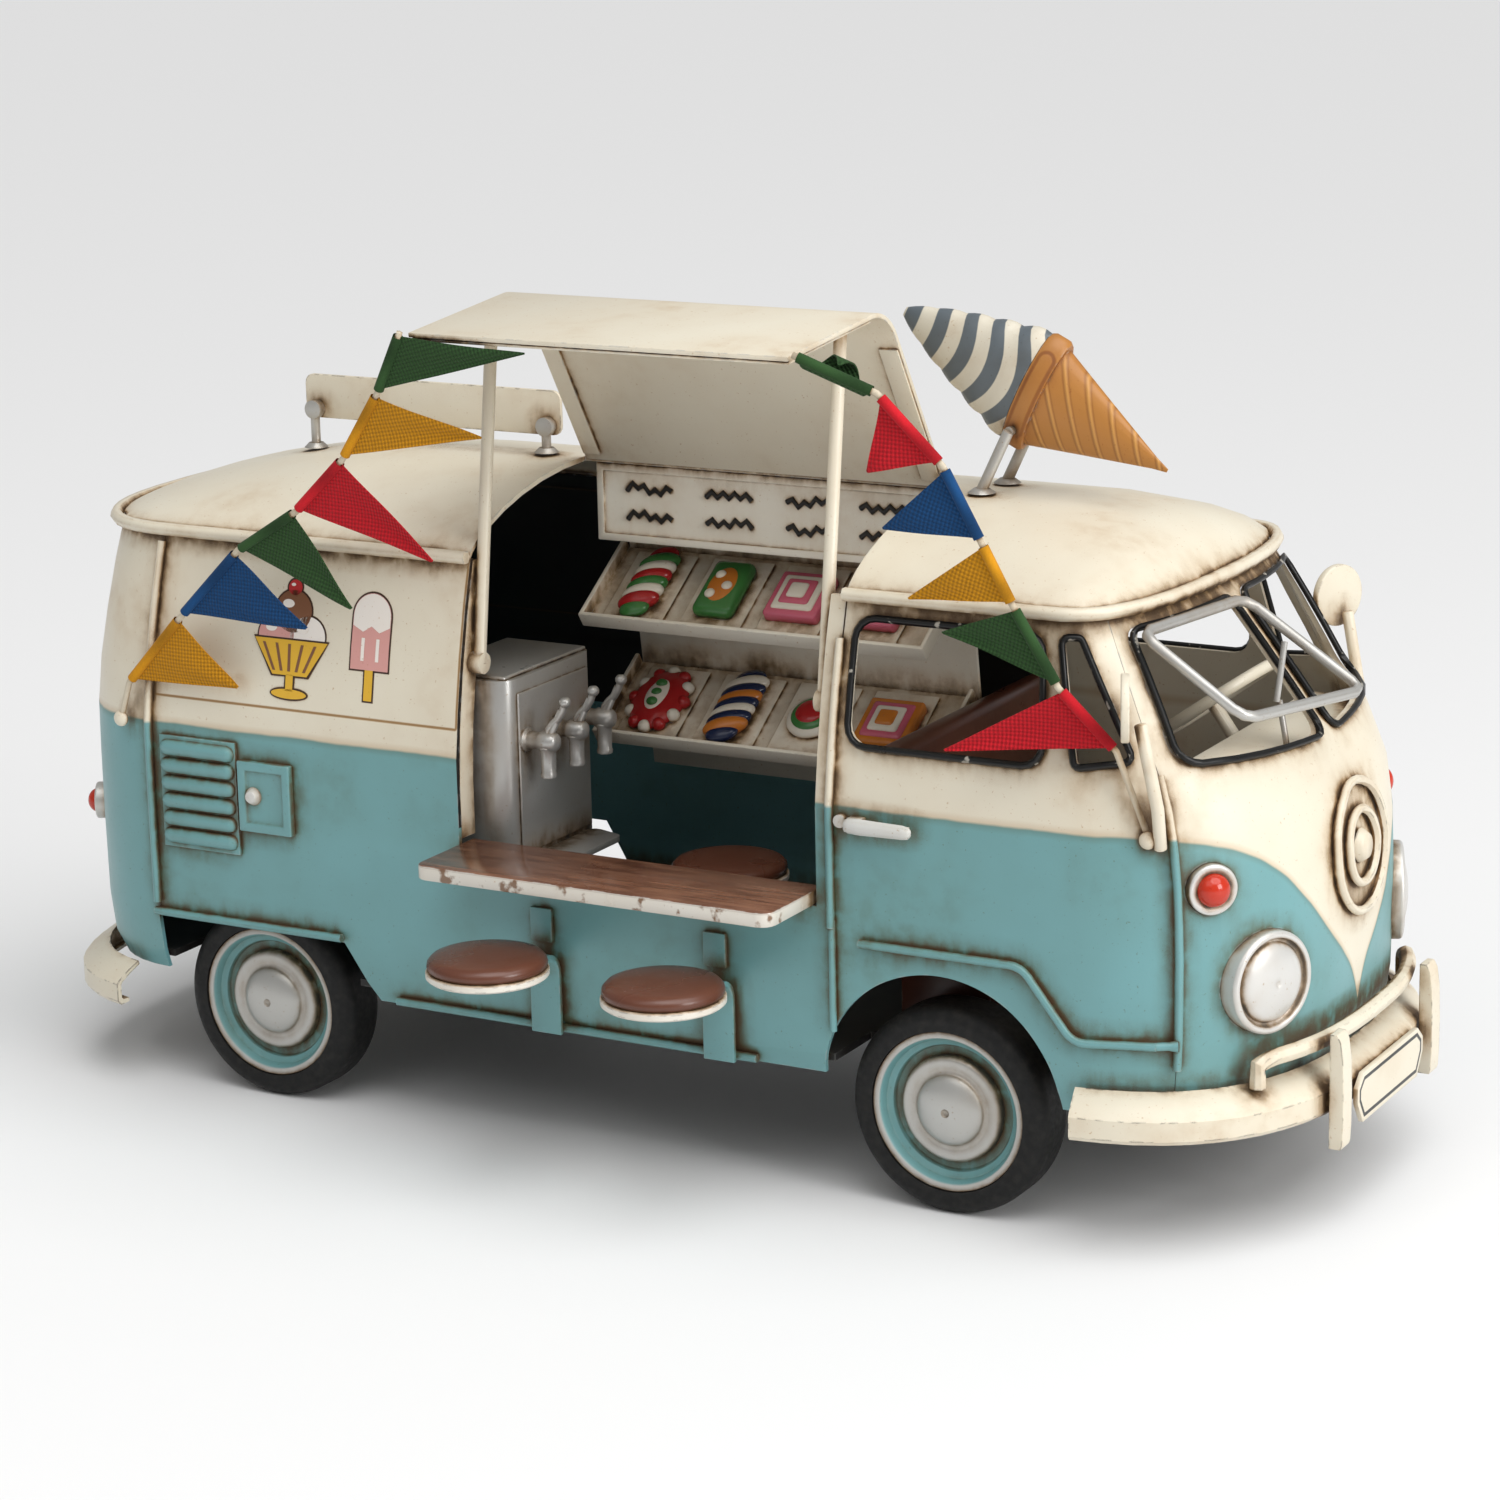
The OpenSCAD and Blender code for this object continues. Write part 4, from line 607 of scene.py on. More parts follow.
def dome(radius, base, rise, angles):
    turns = [math.radians(a) for a in angles]
    return [(radius * math.cos(t), base + rise * math.sin(t)) for t in turns]


cap_profile = [(0, 0), (10.8, 0), (10.8, 0.7)] + arc((9.6, 0.8), 1.2, 0, 80, 5)
cap_profile += [(9.0, 1.98), (8.3, 1.8), (7.6, 1.7)] + dome(7.2, 1.75, 2.55, range(5, 84, 6))
cap_profile += [(0.9, 4.25), (0.6, 3.95), (0, 3.85)]
for end, axle_x in AXLES:
    for side_name, side in (("right", -1), ("left", 1)):
        wheel = end + "_" + side_name
        smooth_copy("tyre_" + wheel, rubber, body="wheel_" + wheel, angle=50)
        smooth_copy("rim_" + wheel, rim_paint[end], body="wheel_" + wheel, angle=30, bevel=0.2 * MM)
        at = Matrix.Translation((axle_x, side * CAP_FACE, AXLE_HEIGHT))
        cap = turned("cap_" + wheel, cap_profile, at @ Matrix.Rotation(-side * math.pi / 2, 4, "X"))
        settle(cap, "wheel_" + wheel, silver_paint, 50)
        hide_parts("hubcap_" + wheel)

# Bumpers, guard bar, mirrors, nose rings and dashboard: cream enamelled tin and wire, soldered to irons
# or straight to the body, and heavily chipped at the edges that stand out.
worn_cream = painted("worn_cream_enamel", CREAM, chips=1.0, amount=1.0, chip=(0.07, 0.05, 0.035, 1),
                     reach=4.5 * MM)
smooth_copy("front_bumper", worn_cream, angle=30)
smooth_copy("rear_bumper", worn_cream, angle=30)
smooth_copy("guard_bar", worn_cream, bevel=0.5 * MM, angle=60, rounds=1)
smooth_copy("mirrors", worn_cream, bevel=0.3 * MM, angle=50)
ring_cream = painted("ring_cream_enamel", CREAM, chips=0.7, amount=0.75, chip=(0.10, 0.075, 0.05, 1),
                     reach=1.6 * MM)
smooth_copy("nose_rings", ring_cream, angle=60)
smooth_copy("dashboard", cream_paint, bevel=0.2 * MM)

# Number plate: a blank cream tin plate with chamfered corners, soldered to the front bumper, with a
# black border brushed on just inside its edge.
plate_paint = painted("plate_enamel", CREAM, amount=0.4, chips=0.3)
plate = smooth_copy("plate", plate_paint, bevel=0.1 * MM)
border_paint = painted("border_black", (0.015, 0.015, 0.015, 1), amount=0.1, chips=0.2)
plate.data.materials.append(border_paint)
edit(plate)
bpy.ops.mesh.select_all(action="DESELECT")
done()
front = max(plate.data.polygons, key=lambda face: face.center.x + face.area)
front.select = True
bpy.ops.object.mode_set(mode="EDIT")
bpy.ops.mesh.select_mode(type="FACE")
bpy.ops.mesh.inset(thickness=0.8 * MM)
bpy.ops.mesh.inset(thickness=0.75 * MM)
done()
field = max(plate.data.polygons, key=lambda face: face.center.x + face.area)
for face in plate.data.polygons:
    if face.index != field.index and face.normal.x > 0.9 and set(face.vertices) & set(field.vertices):
        face.material_index = 1

# Lamps: pressed silver bowls with a thick rim and a domed lens, soldered on the nose; the indicators at
# the nose and tail are small silver flanges that carry a red dome.
lamp_profile = [(0, -4), (10, -4), (10, 1.2)] + arc((9.2, 1.3), 0.8, 0, 130, 6)
lamp_profile += [(8.6, 1.5), (8.4, 1.1), (8.15, 0.9), (7.85, 0.95)] + dome(7.7, 1.1, 2.1, range(6, 84, 6))
lamp_profile += [(0.7, 3.18), (0.45, 3.0), (0, 2.95)]
bright_silver = painted("lamp_silver", (0.66, 0.66, 0.64, 1), metallic=0.35, amount=0.7, chips=0.2, gloss=0.3,
                        reach=2.5 * MM, wash=(0.12, 0.10, 0.08, 1))
red_dome = painted("red_lens", (0.52, 0.03, 0.010, 1), amount=0.2, chips=0.0, gloss=0.15)


def lamp_place(x, y, z, swing, forward=1):
    """Where a lamp stands, in millimetres and degrees; its axis points forward or, with -1, back."""
    turn = Matrix.Rotation(math.radians(swing), 4, "Z") @ Matrix.Rotation(forward * math.pi / 2, 4, "Y")
    return Matrix.Translation((x * MM, y * MM, z * MM)) @ turn


lamps = [turned("lamp", lamp_profile, lamp_place(139.08, side * 33.5, 51, side * 24)) for side in (-1, 1)]
headlights = settle(joined("headlights_turned", lamps), "bus", bright_silver, 50)
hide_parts("headlights")
flange_profile = [(0, -2.5), (4.9, -2.5), (4.9, 0.5)] + arc((4.4, 0.55), 0.5, 0, 90, 3)
flange_profile += [(3.7, 0.95), (3.4, 0.7), (0, 0.7)]
dome_profile = [(0, 0.5), (3.2, 0.5)] + dome(3.2, 0.8, 2.7, range(0, 86, 8)) + [(0, 3.5)]
flanges, domes = [], []
for side in (-1, 1):
    for place, size in ((lamp_place(131.83, side * 43, 70.5, side * 44), 1.0),
                        (lamp_place(-135.3, side * 33, 55, -side * 28, -1), 0.82)):
        flanges.append(turned("flange", flange_profile, place, size=size))
        domes.append(turned("dome", dome_profile, place, steps=40, size=size))
settle(joined("indicator_flanges", flanges), "bus", bright_silver, 50)
lenses = settle(joined("indicator_domes", domes), "bus", red_dome, 50)
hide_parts("indicators")

# Window seals and the opened windscreen frame: black glossy beads glued round the openings, and a silver
# wire frame soldered open on its stay.
seal_black, tree, shader = new_material("gloss_black_bead")
place = object_place(tree)
worn = times(tree, span(tree, noise(tree, place, 350, 3), 0.66, 0.7), 0.8)
bead_colour = blend(tree, worn, (0.006, 0.006, 0.006, 1), (0.45, 0.42, 0.36, 1))
tree.links.new(bead_colour, shader.inputs["Base Color"])
tree.links.new(span(tree, noise(tree, place, 200, 2), 0.3, 0.7, 0.26, 0.42), shader.inputs["Roughness"])
shader.inputs["Specular IOR Level"].default_value = 0.35
smooth_copy("window_seals", seal_black, angle=100)
smooth_copy("screen_frame", silver_paint, angle=60)

# Serving room: the menu board, the bent back sheet and two tilted trays of white enamelled tin, and the
# drinks dispenser, a pewter box; all are soldered to the floor, the back sheet or the far wall.
white_paint = painted("shelf_enamel", (0.88, 0.84, 0.73, 1), amount=0.7, chips=0.4, gloss=0.4)
smooth_copy("menu_board", white_paint, bevel=0.25 * MM)
smooth_copy("display_back", white_paint, bevel=0.2 * MM)
smooth_copy("trays", white_paint, bevel=0.3 * MM)
pewter = painted("dull_pewter", (0.47, 0.47, 0.455, 1), metallic=0.55, amount=0.55, chips=0.5,
                 chip=(0.5, 0.5, 0.48, 1), gloss=0.32, wash=(0.05, 0.05, 0.05, 1))
smooth_copy("dispenser", pewter, bevel=0.6 * MM)

# Menu board marks: short wavy brush strokes in black that stand for lines of writing and say nothing,
# two rows of four, painted on the board's face.
stroke_black = painted("stroke_black", (0.015, 0.014, 0.013, 1), amount=0.1, chips=0.0, gloss=0.5)
strokes = []
board_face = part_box("menu_board")[0][1] + 0.55 * MM
column_starts, row_heights, swing_pitch = (-19, 0, 19, 36), (127.2, 121.4), 1.35
for column, start in enumerate(column_starts):
    for row, height in enumerate(row_heights):
        points = []
        for i in range(9):
            swing = (0.6 + 0.3 * math.sin(i * 2.3 + column * 1.7 + row)) * (1 if i % 2 else -1)
            rise = height + swing + 0.3 * math.sin(i + column)
            points.append(((start + i * swing_pitch) * MM, board_face, rise * MM))
        strokes.append(stroke("menu_stroke", points, 0.6 * MM))
settle(joined("menu_strokes", strokes), "bus", stroke_black, 80)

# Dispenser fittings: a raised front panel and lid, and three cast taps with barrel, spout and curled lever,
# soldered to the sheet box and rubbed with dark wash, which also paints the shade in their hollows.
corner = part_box("dispenser")[0]
front_x, near_y = corner[0] + 22 * MM, corner[1]
panel_low = (front_x - 0.1 * MM, near_y + 3.5 * MM, 58 * MM)
panel_high = (front_x + 0.5 * MM, near_y + 30.5 * MM, 92 * MM)
lid_low = (corner[0] + 1.2 * MM, near_y + 1.2 * MM, 94.9 * MM)
lid_high = (front_x - 1.2 * MM, near_y + 32.8 * MM, 95.8 * MM)
fittings = [block("panel", panel_low, panel_high, 0.45 * MM, segments=3),
            block("lid", lid_low, lid_high, 0.6 * MM, segments=3)]
barrel = [(0, 0), (2.5, 0), (2.5, 0.8), (1.8, 1.3), (1.7, 3.6), (2.1, 4.0), (2.1, 7.0), (1.6, 7.7), (0.9, 8.0),
          (0, 8.1)]
spout = [(0, 0), (1.2, 0), (1.6, 0.2), (1.7, 0.8), (1.5, 1.2), (1.6, 5.5), (2.0, 6.4), (1.4, 7.6), (0, 7.8)]
lever = [(5.5, 0, 1.2), (5.8, 0, 2.6), (6.8, 0, 3.8), (8.2, 0, 5.0), (9.2, 0, 6.6), (9.8, 0, 8.2)]
knob = [(0, -1.1), (0.8, -0.9), (1.2, -0.3), (1.2, 0.4), (0.8, 0.95), (0, 1.1)]
tap_height, tap_places = 82, (6, 17, 28)
for y in tap_places:
    at = Matrix.Translation((front_x + 0.1 * MM, near_y + y * MM, tap_height * MM))
    fittings.append(turned("barrel", barrel, at @ Matrix.Rotation(math.pi / 2, 4, "Y"), steps=28))
    fittings.append(turned("spout", spout, at @ Matrix.Translation((5.5 * MM, 0, -7.6 * MM)), steps=28))
    fittings.append(stroke("lever", [at @ (Vector(point) * MM) for point in lever], 0.8 * MM))
    fittings.append(turned("knob", knob, at @ Matrix.Translation((9.9 * MM, 0, 8.6 * MM)), steps=20))
settle(joined("dispenser_fittings", fittings), "bus", pewter, 50)

# Cakes: small cast rolls, blocks and rounds in bright gloss enamel, four to each tray, each glued with
# its paper to the tray's slope.
def cake_paint(name, colour, amount=0.35, gloss=0.18):
    return painted("cake_" + name, colour, amount=amount, chips=0.0, gloss=gloss, reach=1.5 * MM)


cake_red = cake_paint("red", (0.42, 0.018, 0.02, 1))
cake_green = cake_paint("green", (0.05, 0.20, 0.05, 1))
cake_white = cake_paint("white", (0.80, 0.76, 0.66, 1), amount=0.45, gloss=0.25)
cake_pink = cake_paint("pink", (0.62, 0.13, 0.20, 1), gloss=0.2)
cake_navy = cake_paint("navy", (0.012, 0.022, 0.07, 1), amount=0.2)
cake_orange = cake_paint("orange", (0.60, 0.20, 0.03, 1), gloss=0.2)
TRAY_END, TRAY_DEPTH, TRAY_SLOPE, TRAY_MIDDLE, TRAY_GAP = -27, 23, 34, 11.5, 1.1
SHEET_Y, SHEET_TOP, SHEET_HEIGHT, SHEET_LEAN = 14.5, 116, 54, 8.5


def tray_matrix(rear_height):
    """From a tray's own axes, end, front edge and surface, to where it hangs on the leaning back sheet."""
    rack = SHEET_Y + (SHEET_TOP - rear_height + 1) / SHEET_HEIGHT * SHEET_LEAN - TRAY_GAP
    at = Matrix.Translation((TRAY_END * MM, rack * MM, rear_height * MM))
    return at @ Matrix.Rotation(math.radians(TRAY_SLOPE), 4, "X") @ Matrix.Translation((0, -TRAY_DEPTH * MM, 0))


def ball(at, size, material, turn=0.0):
    bpy.ops.object.select_all(action="DESELECT")
    bpy.ops.mesh.primitive_uv_sphere_add(segments=28, ring_count=14, radius=1)
    piece = bpy.context.active_object
    shape = Matrix.Rotation(math.radians(turn), 4, "Z") @ Matrix.Diagonal((*[v * MM for v in size], 1))
    piece.data.transform(Matrix.Translation([v * MM for v in at]) @ shape)
    piece.data.materials.append(material)
    return piece


def slab(at, size, material, bevel=0.8):
    low = [(c - h / 2) * MM for c, h in zip(at, size)]
    high = [(c + h / 2) * MM for c, h in zip(at, size)]
    piece = block("slab", low, high, bevel * MM, segments=3)
    piece.data.materials.append(material)
    return piece


def roll(x, width, colours):
    """A cake roll: a row of slanting flattened balls, the two at its ends smaller."""
    pieces = []
    for i, material in enumerate(colours):
        y = 3.6 + 15.6 * i / (len(colours) - 1)
        narrow = 0.72 if i in (0, len(colours) - 1) else 1.0
        pieces.append(ball((x, y, 3.2), (width * narrow, 2.3, 2.1 * narrow), material, 24))
    return pieces


def squares(x, colours):
    pieces = []
    for i, material in enumerate(colours):
        side = 12.5 - 2.7 * i
        pieces.append(slab((x, TRAY_MIDDLE, 2.6 + 0.45 * i), (side, side, 3.0), material))
    return pieces


mid = TRAY_MIDDLE
upper = roll(12, 4.6, [cake_green, cake_red, cake_white] * 2 + [cake_green, cake_red])
upper.append(slab((30, mid, 2.8), (9.5, 15, 3.6), cake_green, 1.6))
upper.append(ball((30, mid, 4.2), (3.4, 5.4, 0.9), cake_orange))
for dx, dy in ((-1.5, -3), (1.4, -0.5), (-1.2, 2.4)):
    upper.append(ball((30 + dx, mid + dy, 4.8), (1.2, 1.2, 0.7), cake_white))
upper += squares(48, [cake_pink, cake_white, cake_pink, cake_white])
upper += squares(66, [cake_pink, cake_white, cake_red, cake_white])
lower = [ball((11, mid, 2.4), (6.4, 8.4, 2.1), cake_red), ball((11, mid, 3.4), (3.0, 5.0, 1.6), cake_white)]
for i in range(12):
    turn = i * math.pi / 6
    scallop = (11 + 5.9 * math.cos(turn), mid + 7.8 * math.sin(turn), 2.4)
    lower.append(ball(scallop, (1.5, 1.5, 1.5), cake_white if i % 2 else cake_red))
lower += [ball((11, mid + dy, 4.6), (1.3, 1.1, 0.8), cake_green) for dy in (-2.4, 0.2, 2.8)]
lower += roll(30, 5.0, [cake_navy, cake_orange, cake_navy, cake_white] * 2 + [cake_navy])
for height, wide, thick, material in ((2.3, 5.8, 1.8, cake_white), (3.2, 4.6, 1.5, cake_green),
                                      (3.9, 3.4, 1.3, cake_red)):
    lower.append(ball((48, mid, height), (wide, wide, thick), material))
lower += squares(66, [cake_orange, cake_pink, cake_white, cake_orange])
for pieces in (upper, lower):
    for x in (11.5, 30, 48, 66):
        pieces.append(slab((x, mid, 1.35), (14.5, 20, 0.5), white_paint, 0.2))
for pieces, rear_height in ((upper, 111), (lower, 85)):
    for piece in pieces:
        piece.data.transform(tray_matrix(rear_height))
cakes = settle(joined("cakes_cast", upper + lower), "bus", None, 50)
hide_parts("cakes")

# Counter, stools and bench: tin boards and pressed discs in dark brown gloss enamel over silver, the edges
# rubbed through; the counter is soldered to the sill and the stools to their brackets.
brown, tree, shader = new_material("brown_gloss", coat=0.3)
top = span(tree, axes(tree, add(tree, "NewGeometry").outputs["True Normal"])[2], 0.3, 0.6)
place = object_place(tree)
streak = add(tree, "Mapping", {"Vector": place, "Scale": (1, 6, 6)}).outputs[0]
board = span(tree, noise(tree, streak, 120, 4), 0.35, 0.65)
board = blend(tree, board, (0.13, 0.054, 0.032, 1), (0.255, 0.12, 0.072, 1))
rubbed = span(tree, noise(tree, place, 260, 4), 0.55, 0.62)
rubbed = blend(tree, rubbed, (0.70, 0.675, 0.61, 1), (0.22, 0.13, 0.075, 1))
paint = blend(tree, top, rubbed, board)
enamel(tree, shader, paint, chips=0.9, chip=(0.62, 0.6, 0.55, 1), gloss=0.2, amount=0.5)
smooth_copy("counter", brown, bevel=0.4 * MM)
seat_brown = painted("seat_brown", (0.125, 0.043, 0.024, 1), amount=0.6, chips=0.25, chip=(0.5, 0.48, 0.44, 1),
                     gloss=0.27, reach=3 * MM)
seat_rim = painted("seat_rim", (0.76, 0.73, 0.66, 1), amount=0.8, chips=1.0, chip=(0.30, 0.28, 0.25, 1),
                   reach=3 * MM)
rim_profile = [(0, 0), (11.7, 0), (12.2, 0.4), (12.2, 1.4), (11.8, 1.7), (11.2, 1.7)]
cushion_profile = [(11.0, 1.6), (11.7, 1.9), (11.95, 2.6), (11.8, 3.4), (11.1, 4.15), (9.6, 4.55), (5, 4.75),
                   (0, 4.8)]
stool_places = ((-7.5, -75.5, 44), (32.5, -75.5, 44), (16, -20, 52))
rims, cushions = [], []
for at in stool_places:
    matrix = Matrix.Translation(Vector(at) * MM)
    rims.append(turned("stool_rim", rim_profile, matrix))
    cushions.append(turned("stool_top", cushion_profile, matrix))
settle(joined("stool_rims", rims), "bus", seat_rim, 40)
seats = settle(joined("stool_tops", cushions), "bus", seat_brown, 60)
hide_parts("stool_seats")
bench_brown = painted("bench_brown", (0.075, 0.022, 0.012, 1), amount=0.6, chips=0.4, gloss=0.3)
smooth_copy("bench_seat", bench_brown, bevel=1.0 * MM)
smooth_copy("steering", cream_paint, angle=60)

# Roof sign: a blank cream tin board on two silver posts, soldered across the back of the roof.
# Its edges are chipped like the bumpers'.
smooth_copy("roof_sign", worn_cream, bevel=0.2 * MM)
smooth_copy("sign_posts", silver_paint, bevel=0.2 * MM)

# Ice cream sign: a flat pressed wafer cone in ochre with slanting ridges, each painted lighter on its crest as
# a highlight and darker on its flanks as shade, and a sunk collar, and a swirl of pressed tin painted in curved
# bands, both soldered to a bent wire stand on the roof.
cone_middle = Vector((74.5 * MM, 0, 154.5 * MM))
cone_tilt = math.radians(26.5)
collar_width, ridge_slant, ridge_pitch = 4.6 * MM, 0.74, 4.8 * MM
band_bow, band_pitch = 48.0, 7.0 * MM


def along_cone(tree):
    """The places along and across the cone, from the middle of its collar."""
    turn = add(tree, "VectorRotate", {"Vector": object_place(tree), "Center": tuple(cone_middle),
                                      "Axis": (0, 1, 0), "Angle": -cone_tilt})
    x, _, z = axes(tree, turn.outputs[0])
    return minus(tree, x, cone_middle.x), minus(tree, z, cone_middle.z)


wafer, tree, shader = new_material("scored_wafer")
a, b = along_cone(tree)
run = plus(tree, a, times(tree, b, ridge_slant))
wave = maths(tree, "FRACT", maths(tree, "DIVIDE", run, ridge_pitch))
wave = maths(tree, "ABSOLUTE", minus(tree, wave, 0.5))
on_cone = maths(tree, "GREATER_THAN", a, collar_width)
# Painted highlight on each ridge's crest and painted shade on its flanks; the crest also raises the bump.
crest_and_highlight = times(tree, span(tree, wave, 0.13, 0.02), on_cone)
flank_shade = times(tree, span(tree, wave, 0.22, 0.14), on_cone)
pocket = frame_line(tree, a, b, (0.7 * MM, -9.3 * MM), (4.0 * MM, 9.3 * MM), 1.6 * MM, 0.5 * MM)
ochre_lit_and_shaded = blend(tree, flank_shade, (0.44, 0.19, 0.040, 1), (0.33, 0.135, 0.028, 1))
ochre_lit_and_shaded = blend(tree, crest_and_highlight, ochre_lit_and_shaded, (0.56, 0.275, 0.07, 1))
relief = minus(tree, times(tree, pocket, 0.55), times(tree, crest_and_highlight, 1.5))
enamel(tree, shader, ochre_lit_and_shaded, line=relief, chips=0.4)
smooth_copy("cone_wafer", wafer, angle=40)
swirl, tree, shader = new_material("banded_swirl")
a, b = along_cone(tree)
run = plus(tree, a, times(tree, times(tree, b, b), band_bow))
wave = maths(tree, "FRACT", maths(tree, "DIVIDE", run, band_pitch))
band = span(tree, maths(tree, "ABSOLUTE", minus(tree, wave, 0.5)), 0.24, 0.27)
paint = blend(tree, band, (0.70, 0.66, 0.55, 1), (0.115, 0.14, 0.16, 1))
enamel(tree, shader, paint, chips=0.4, amount=0.9)
smooth_copy("cone_swirl", swirl, angle=60)
smooth_copy("cone_stand", silver_paint, bevel=0.2 * MM)

# Bunting wires and flags: stiff wire bound in cotton, and hand-cut triangles of coarse woven cloth
# whose hoists are sewn round the wire.
cotton = painted("cotton_binding", (0.62, 0.56, 0.44, 1), amount=0.4, chips=0.0, gloss=0.8)
smooth_copy("bunting_lines", cotton, angle=90)

weave, weave_in, weave_out = new_group("plain_weave", [("Pitch", VALUE)], [("Height", VALUE), ("Shade", VALUE)])
threads = []
for value in axes(weave, add(weave, "UVMap").outputs[0])[:2]:
    turns = maths(weave, "DIVIDE", times(weave, value, math.pi), weave_in.outputs["Pitch"])
    threads.append(maths(weave, "SINE", turns))
cross = times(weave, threads[0], threads[1])
fibre = noise(weave, object_place(weave), 3000, 2)
weave.links.new(plus(weave, cross, times(weave, fibre, 0.5)), weave_out.inputs["Height"])
# The low points of the weave are painted darker as the shade between the threads; the fibre noise is the
# thread's own tone.
shade = plus(weave, span(weave, cross, -1.0, 1.0, 0.0, 0.7), times(weave, fibre, 0.4))
weave.links.new(shade, weave_out.inputs["Shade"])


def cloth(name, colour):
    material, tree, shader = new_material(name)
    threads = add(tree, "Group", {"Pitch": 0.55}, node_tree=weave)
    # A darker copy of the cloth's colour, painted as the shade between the threads.
    thread_shade = tuple(c * 0.38 for c in colour[:3]) + (1,)
    tree.links.new(blend(tree, threads.outputs["Shade"], thread_shade, colour), shader.inputs["Base Color"])
    shader.inputs["Roughness"].default_value = 0.9
    shader.inputs["Sheen Weight"].default_value = 0.04
    shader.inputs["Specular IOR Level"].default_value = 0.2
    relief = add(tree, "Bump", {"Height": threads.outputs["Height"], "Strength": 0.9, "Distance": 0.16 * MM})
    tree.links.new(relief.outputs[0], shader.inputs["Normal"])
    return material


cloths = {
    "red": cloth("cloth_red", (0.62, 0.014, 0.024, 1)),
    "blue": cloth("cloth_blue", (0.010, 0.068, 0.20, 1)),
    "mustard": cloth("cloth_mustard", (0.66, 0.29, 0.010, 1)),
    "green": cloth("cloth_green", (0.034, 0.088, 0.026, 1)),
}
studs = [ball((-111.2, -54.6, 80.8), (1.7, 1.1, 1.7), worn_cream),
         ball((122.2, -50.6, 80.6), (1.7, 1.2, 1.7), worn_cream)]
settle(joined("wire_studs", studs), "bus", None, 60)
SIDE_WALL = 53
CURL_RADIUS = 2.3 * MM
CURLED_LENGTH = 13 * MM
HOIST_START, HOIST_END = 0.06, 0.94
rear_wire = [(-28.5, 13, 168.7), (-36, 10.5, 156), (-46, 9, 142), (-59.5, 7, 130), (-75.5, 5.5, 120.5),
             (-92, 4, 105), (-108, 2.2, 89), (-111, 1.4, 81.5)]
front_wire = [(58, 13, 169.2), (73.5, 9.5, 162.5), (85.5, 7, 149.5), (92.5, 5.5, 135.5), (98, 4, 124),
              (106.5, 2.5, 109), (117, 0, 97.5), (122, -3.2, 81)]
rear_flags = [(32, 3.5, 0, "green"), (29, -0.5, 0, "mustard"), (27.5, -13.5, 0, "red"), (21, -14.5, 0, "green"),
              (24.5, -7.5, 0, "blue"), (21, -6.5, 0, "mustard")]
front_flags = [(-4, -4.5, 0, "green"), (-9, -8.5, 0, "red"), (-17, -6, 0, "blue"), (-19, -6.5, 0, "mustard"),
               (-19.5, 1, 0, "green"), (-27.5, -7.5, 5, "red")]
for end, wire, rows in (("rear", rear_wire, rear_flags), ("front", front_wire, front_flags)):
    spots = [Vector((x, -SIDE_WALL - out, z)) * MM for x, out, z in wire]
    for i, (reach, drop, out, colour) in enumerate(rows):
        a = spots[i].lerp(spots[i + 1], HOIST_START)
        b = spots[i].lerp(spots[i + 1], HOIST_END)
        tip = a.lerp(b, 0.5) + Vector((reach, -out, drop)) * MM
        hoist = (b - a).normalized()
        face = (b - a).cross(tip - a).normalized()
        fly = face.cross(hoist)
        name = end + "_flag_" + str(i + 1)
        bpy.ops.object.select_all(action="DESELECT")
        bpy.ops.mesh.primitive_grid_add(x_subdivisions=14, y_subdivisions=22, size=1, calc_uvs=True)
        flag = bpy.context.active_object
        flag.name = name
        length = abs((tip - a).dot(fly))
        curled = length < 10 * MM
        length = CURLED_LENGTH if curled else length
        for vertex in flag.data.vertices:
            s, t = vertex.co.x + 0.5, (vertex.co.y + 0.5) * 0.97
            if curled:
                turn = length * t / CURL_RADIUS
                curl = fly * math.sin(turn) + face * (1 - math.cos(turn))
                vertex.co = a.lerp(b, s + (0.5 - s) * t) + curl * CURL_RADIUS
                continue
            wave = math.sin(t * 4.6 + i * 1.3) * t * (1.2 - 0.5 * t) * 0.9
            ripple = 0.35 * math.sin(s * 6.0 + i) * t * (1 - t) * 4
            vertex.co = a.lerp(b, s).lerp(tip, t) + face * (wave + ripple) * MM
        for loop in flag.data.loops:
            at = flag.data.vertices[loop.vertex_index].co - a
            flag.data.uv_layers[0].data[loop.index].uv = (at.dot(hoist) / MM, at.dot(fly) / MM)
        apply_modifier(flag, "SOLIDIFY", thickness=0.3 * MM, offset=0.0)
        settle(flag, "bus", cloths[colour], 60)
        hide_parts("flags")
        hem = stroke(name + "_hem", [a.lerp(b, k / 6) for k in range(7)], 1.15 * MM)
        apply_modifier(hem, "SUBSURF", levels=1, render_levels=1)
        settle(hem, "bus", cloths[colour], 60)

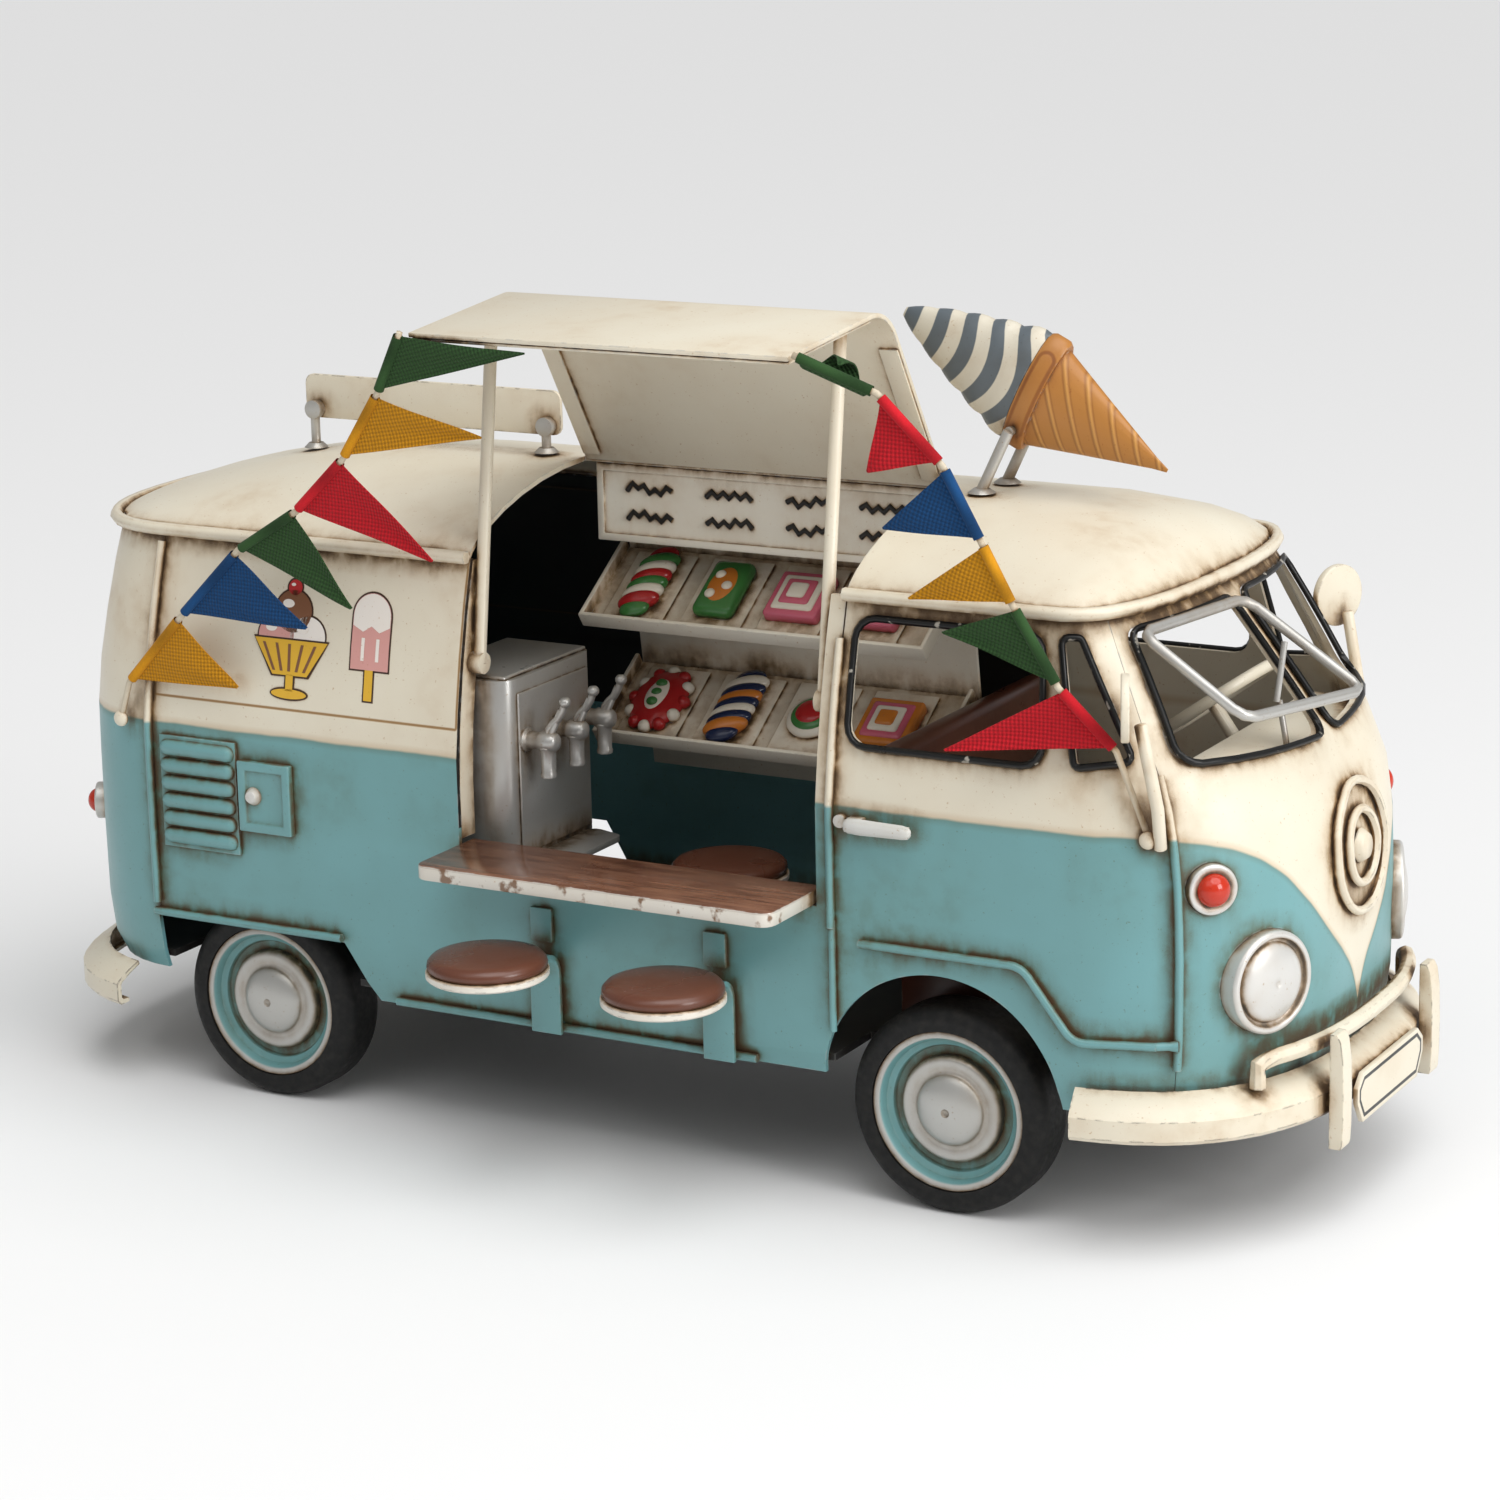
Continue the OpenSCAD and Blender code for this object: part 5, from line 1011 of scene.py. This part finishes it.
# Studio: a pale floor under a wide overhead light with two weak soft lamps, one on the serving side and
# one before the nose, and the camera where the photo's lines put it.
bpy.ops.object.select_all(action="DESELECT")
bpy.ops.mesh.primitive_plane_add(size=30)
floor = bpy.context.active_object
floor.name = "pale_floor"
floor_paint, tree, shader = new_material("pale_floor")
shader.inputs["Base Color"].default_value = (0.84, 0.84, 0.84, 1)
shader.inputs["Roughness"].default_value = 0.6
floor.data.materials.append(floor_paint)
world = bpy.context.scene.world or bpy.data.worlds.new("studio")
bpy.context.scene.world = world
world.use_nodes = True
sky = world.node_tree.nodes["Background"]
sky.inputs["Color"].default_value = (1, 1, 1, 1)
sky.inputs["Strength"].default_value = 0.33
bpy.context.scene.view_settings.view_transform = "Standard"


def soft_light(name, at, look, size, power):
    lamp = bpy.data.lights.new(name, "AREA")
    lamp.shape = "RECTANGLE"
    lamp.size, lamp.size_y = size
    lamp.energy = power
    light = new_object(name, lamp)
    light.location = at
    light.rotation_euler = (Vector(look) - Vector(at)).to_track_quat("-Z", "Y").to_euler()


sun = bpy.data.lights.new("overhead", "SUN")
sun.energy = 2.1
sun.angle = 1.0
overhead = new_object("overhead", sun)
overhead.rotation_euler = Vector((-0.42, 0.1, -1)).to_track_quat("-Z", "Y").to_euler()
soft_light("key", (0.1, -0.7, 0.9), (0, 0, 0.07), (0.9, 0.7), 2)
soft_light("fill", (1.2, -0.25, 0.5), (0.05, 0, 0.08), (0.5, 0.5), 7)
azimuth, rise, camera_roll, far = 0.50997, 0.24197, -0.02039, 0.82629
target = Vector((0.013707, 0, 0.081723))
photo_side, focal_pixels, middle_x, middle_y = 1500, 3980.5, 764.5, 716.05
back = Vector((math.sin(azimuth) * math.cos(rise), -math.cos(azimuth) * math.cos(rise), math.sin(rise)))
right = (-back).cross(Vector((0, 0, 1))).normalized()
up = right.cross(-back)
across = math.cos(camera_roll) * right + math.sin(camera_roll) * up
over = -math.sin(camera_roll) * right + math.cos(camera_roll) * up
view = bpy.data.cameras.new("camera")
view.sensor_width = 36
view.lens = focal_pixels * view.sensor_width / photo_side
view.shift_x = (photo_side / 2 - middle_x) / photo_side
view.shift_y = (middle_y - photo_side / 2) / photo_side
camera = new_object("camera", view)
turn = Matrix((across, over, back)).transposed().to_4x4()
camera.matrix_world = Matrix.Translation(target + back * far) @ turn
bpy.context.scene.camera = camera
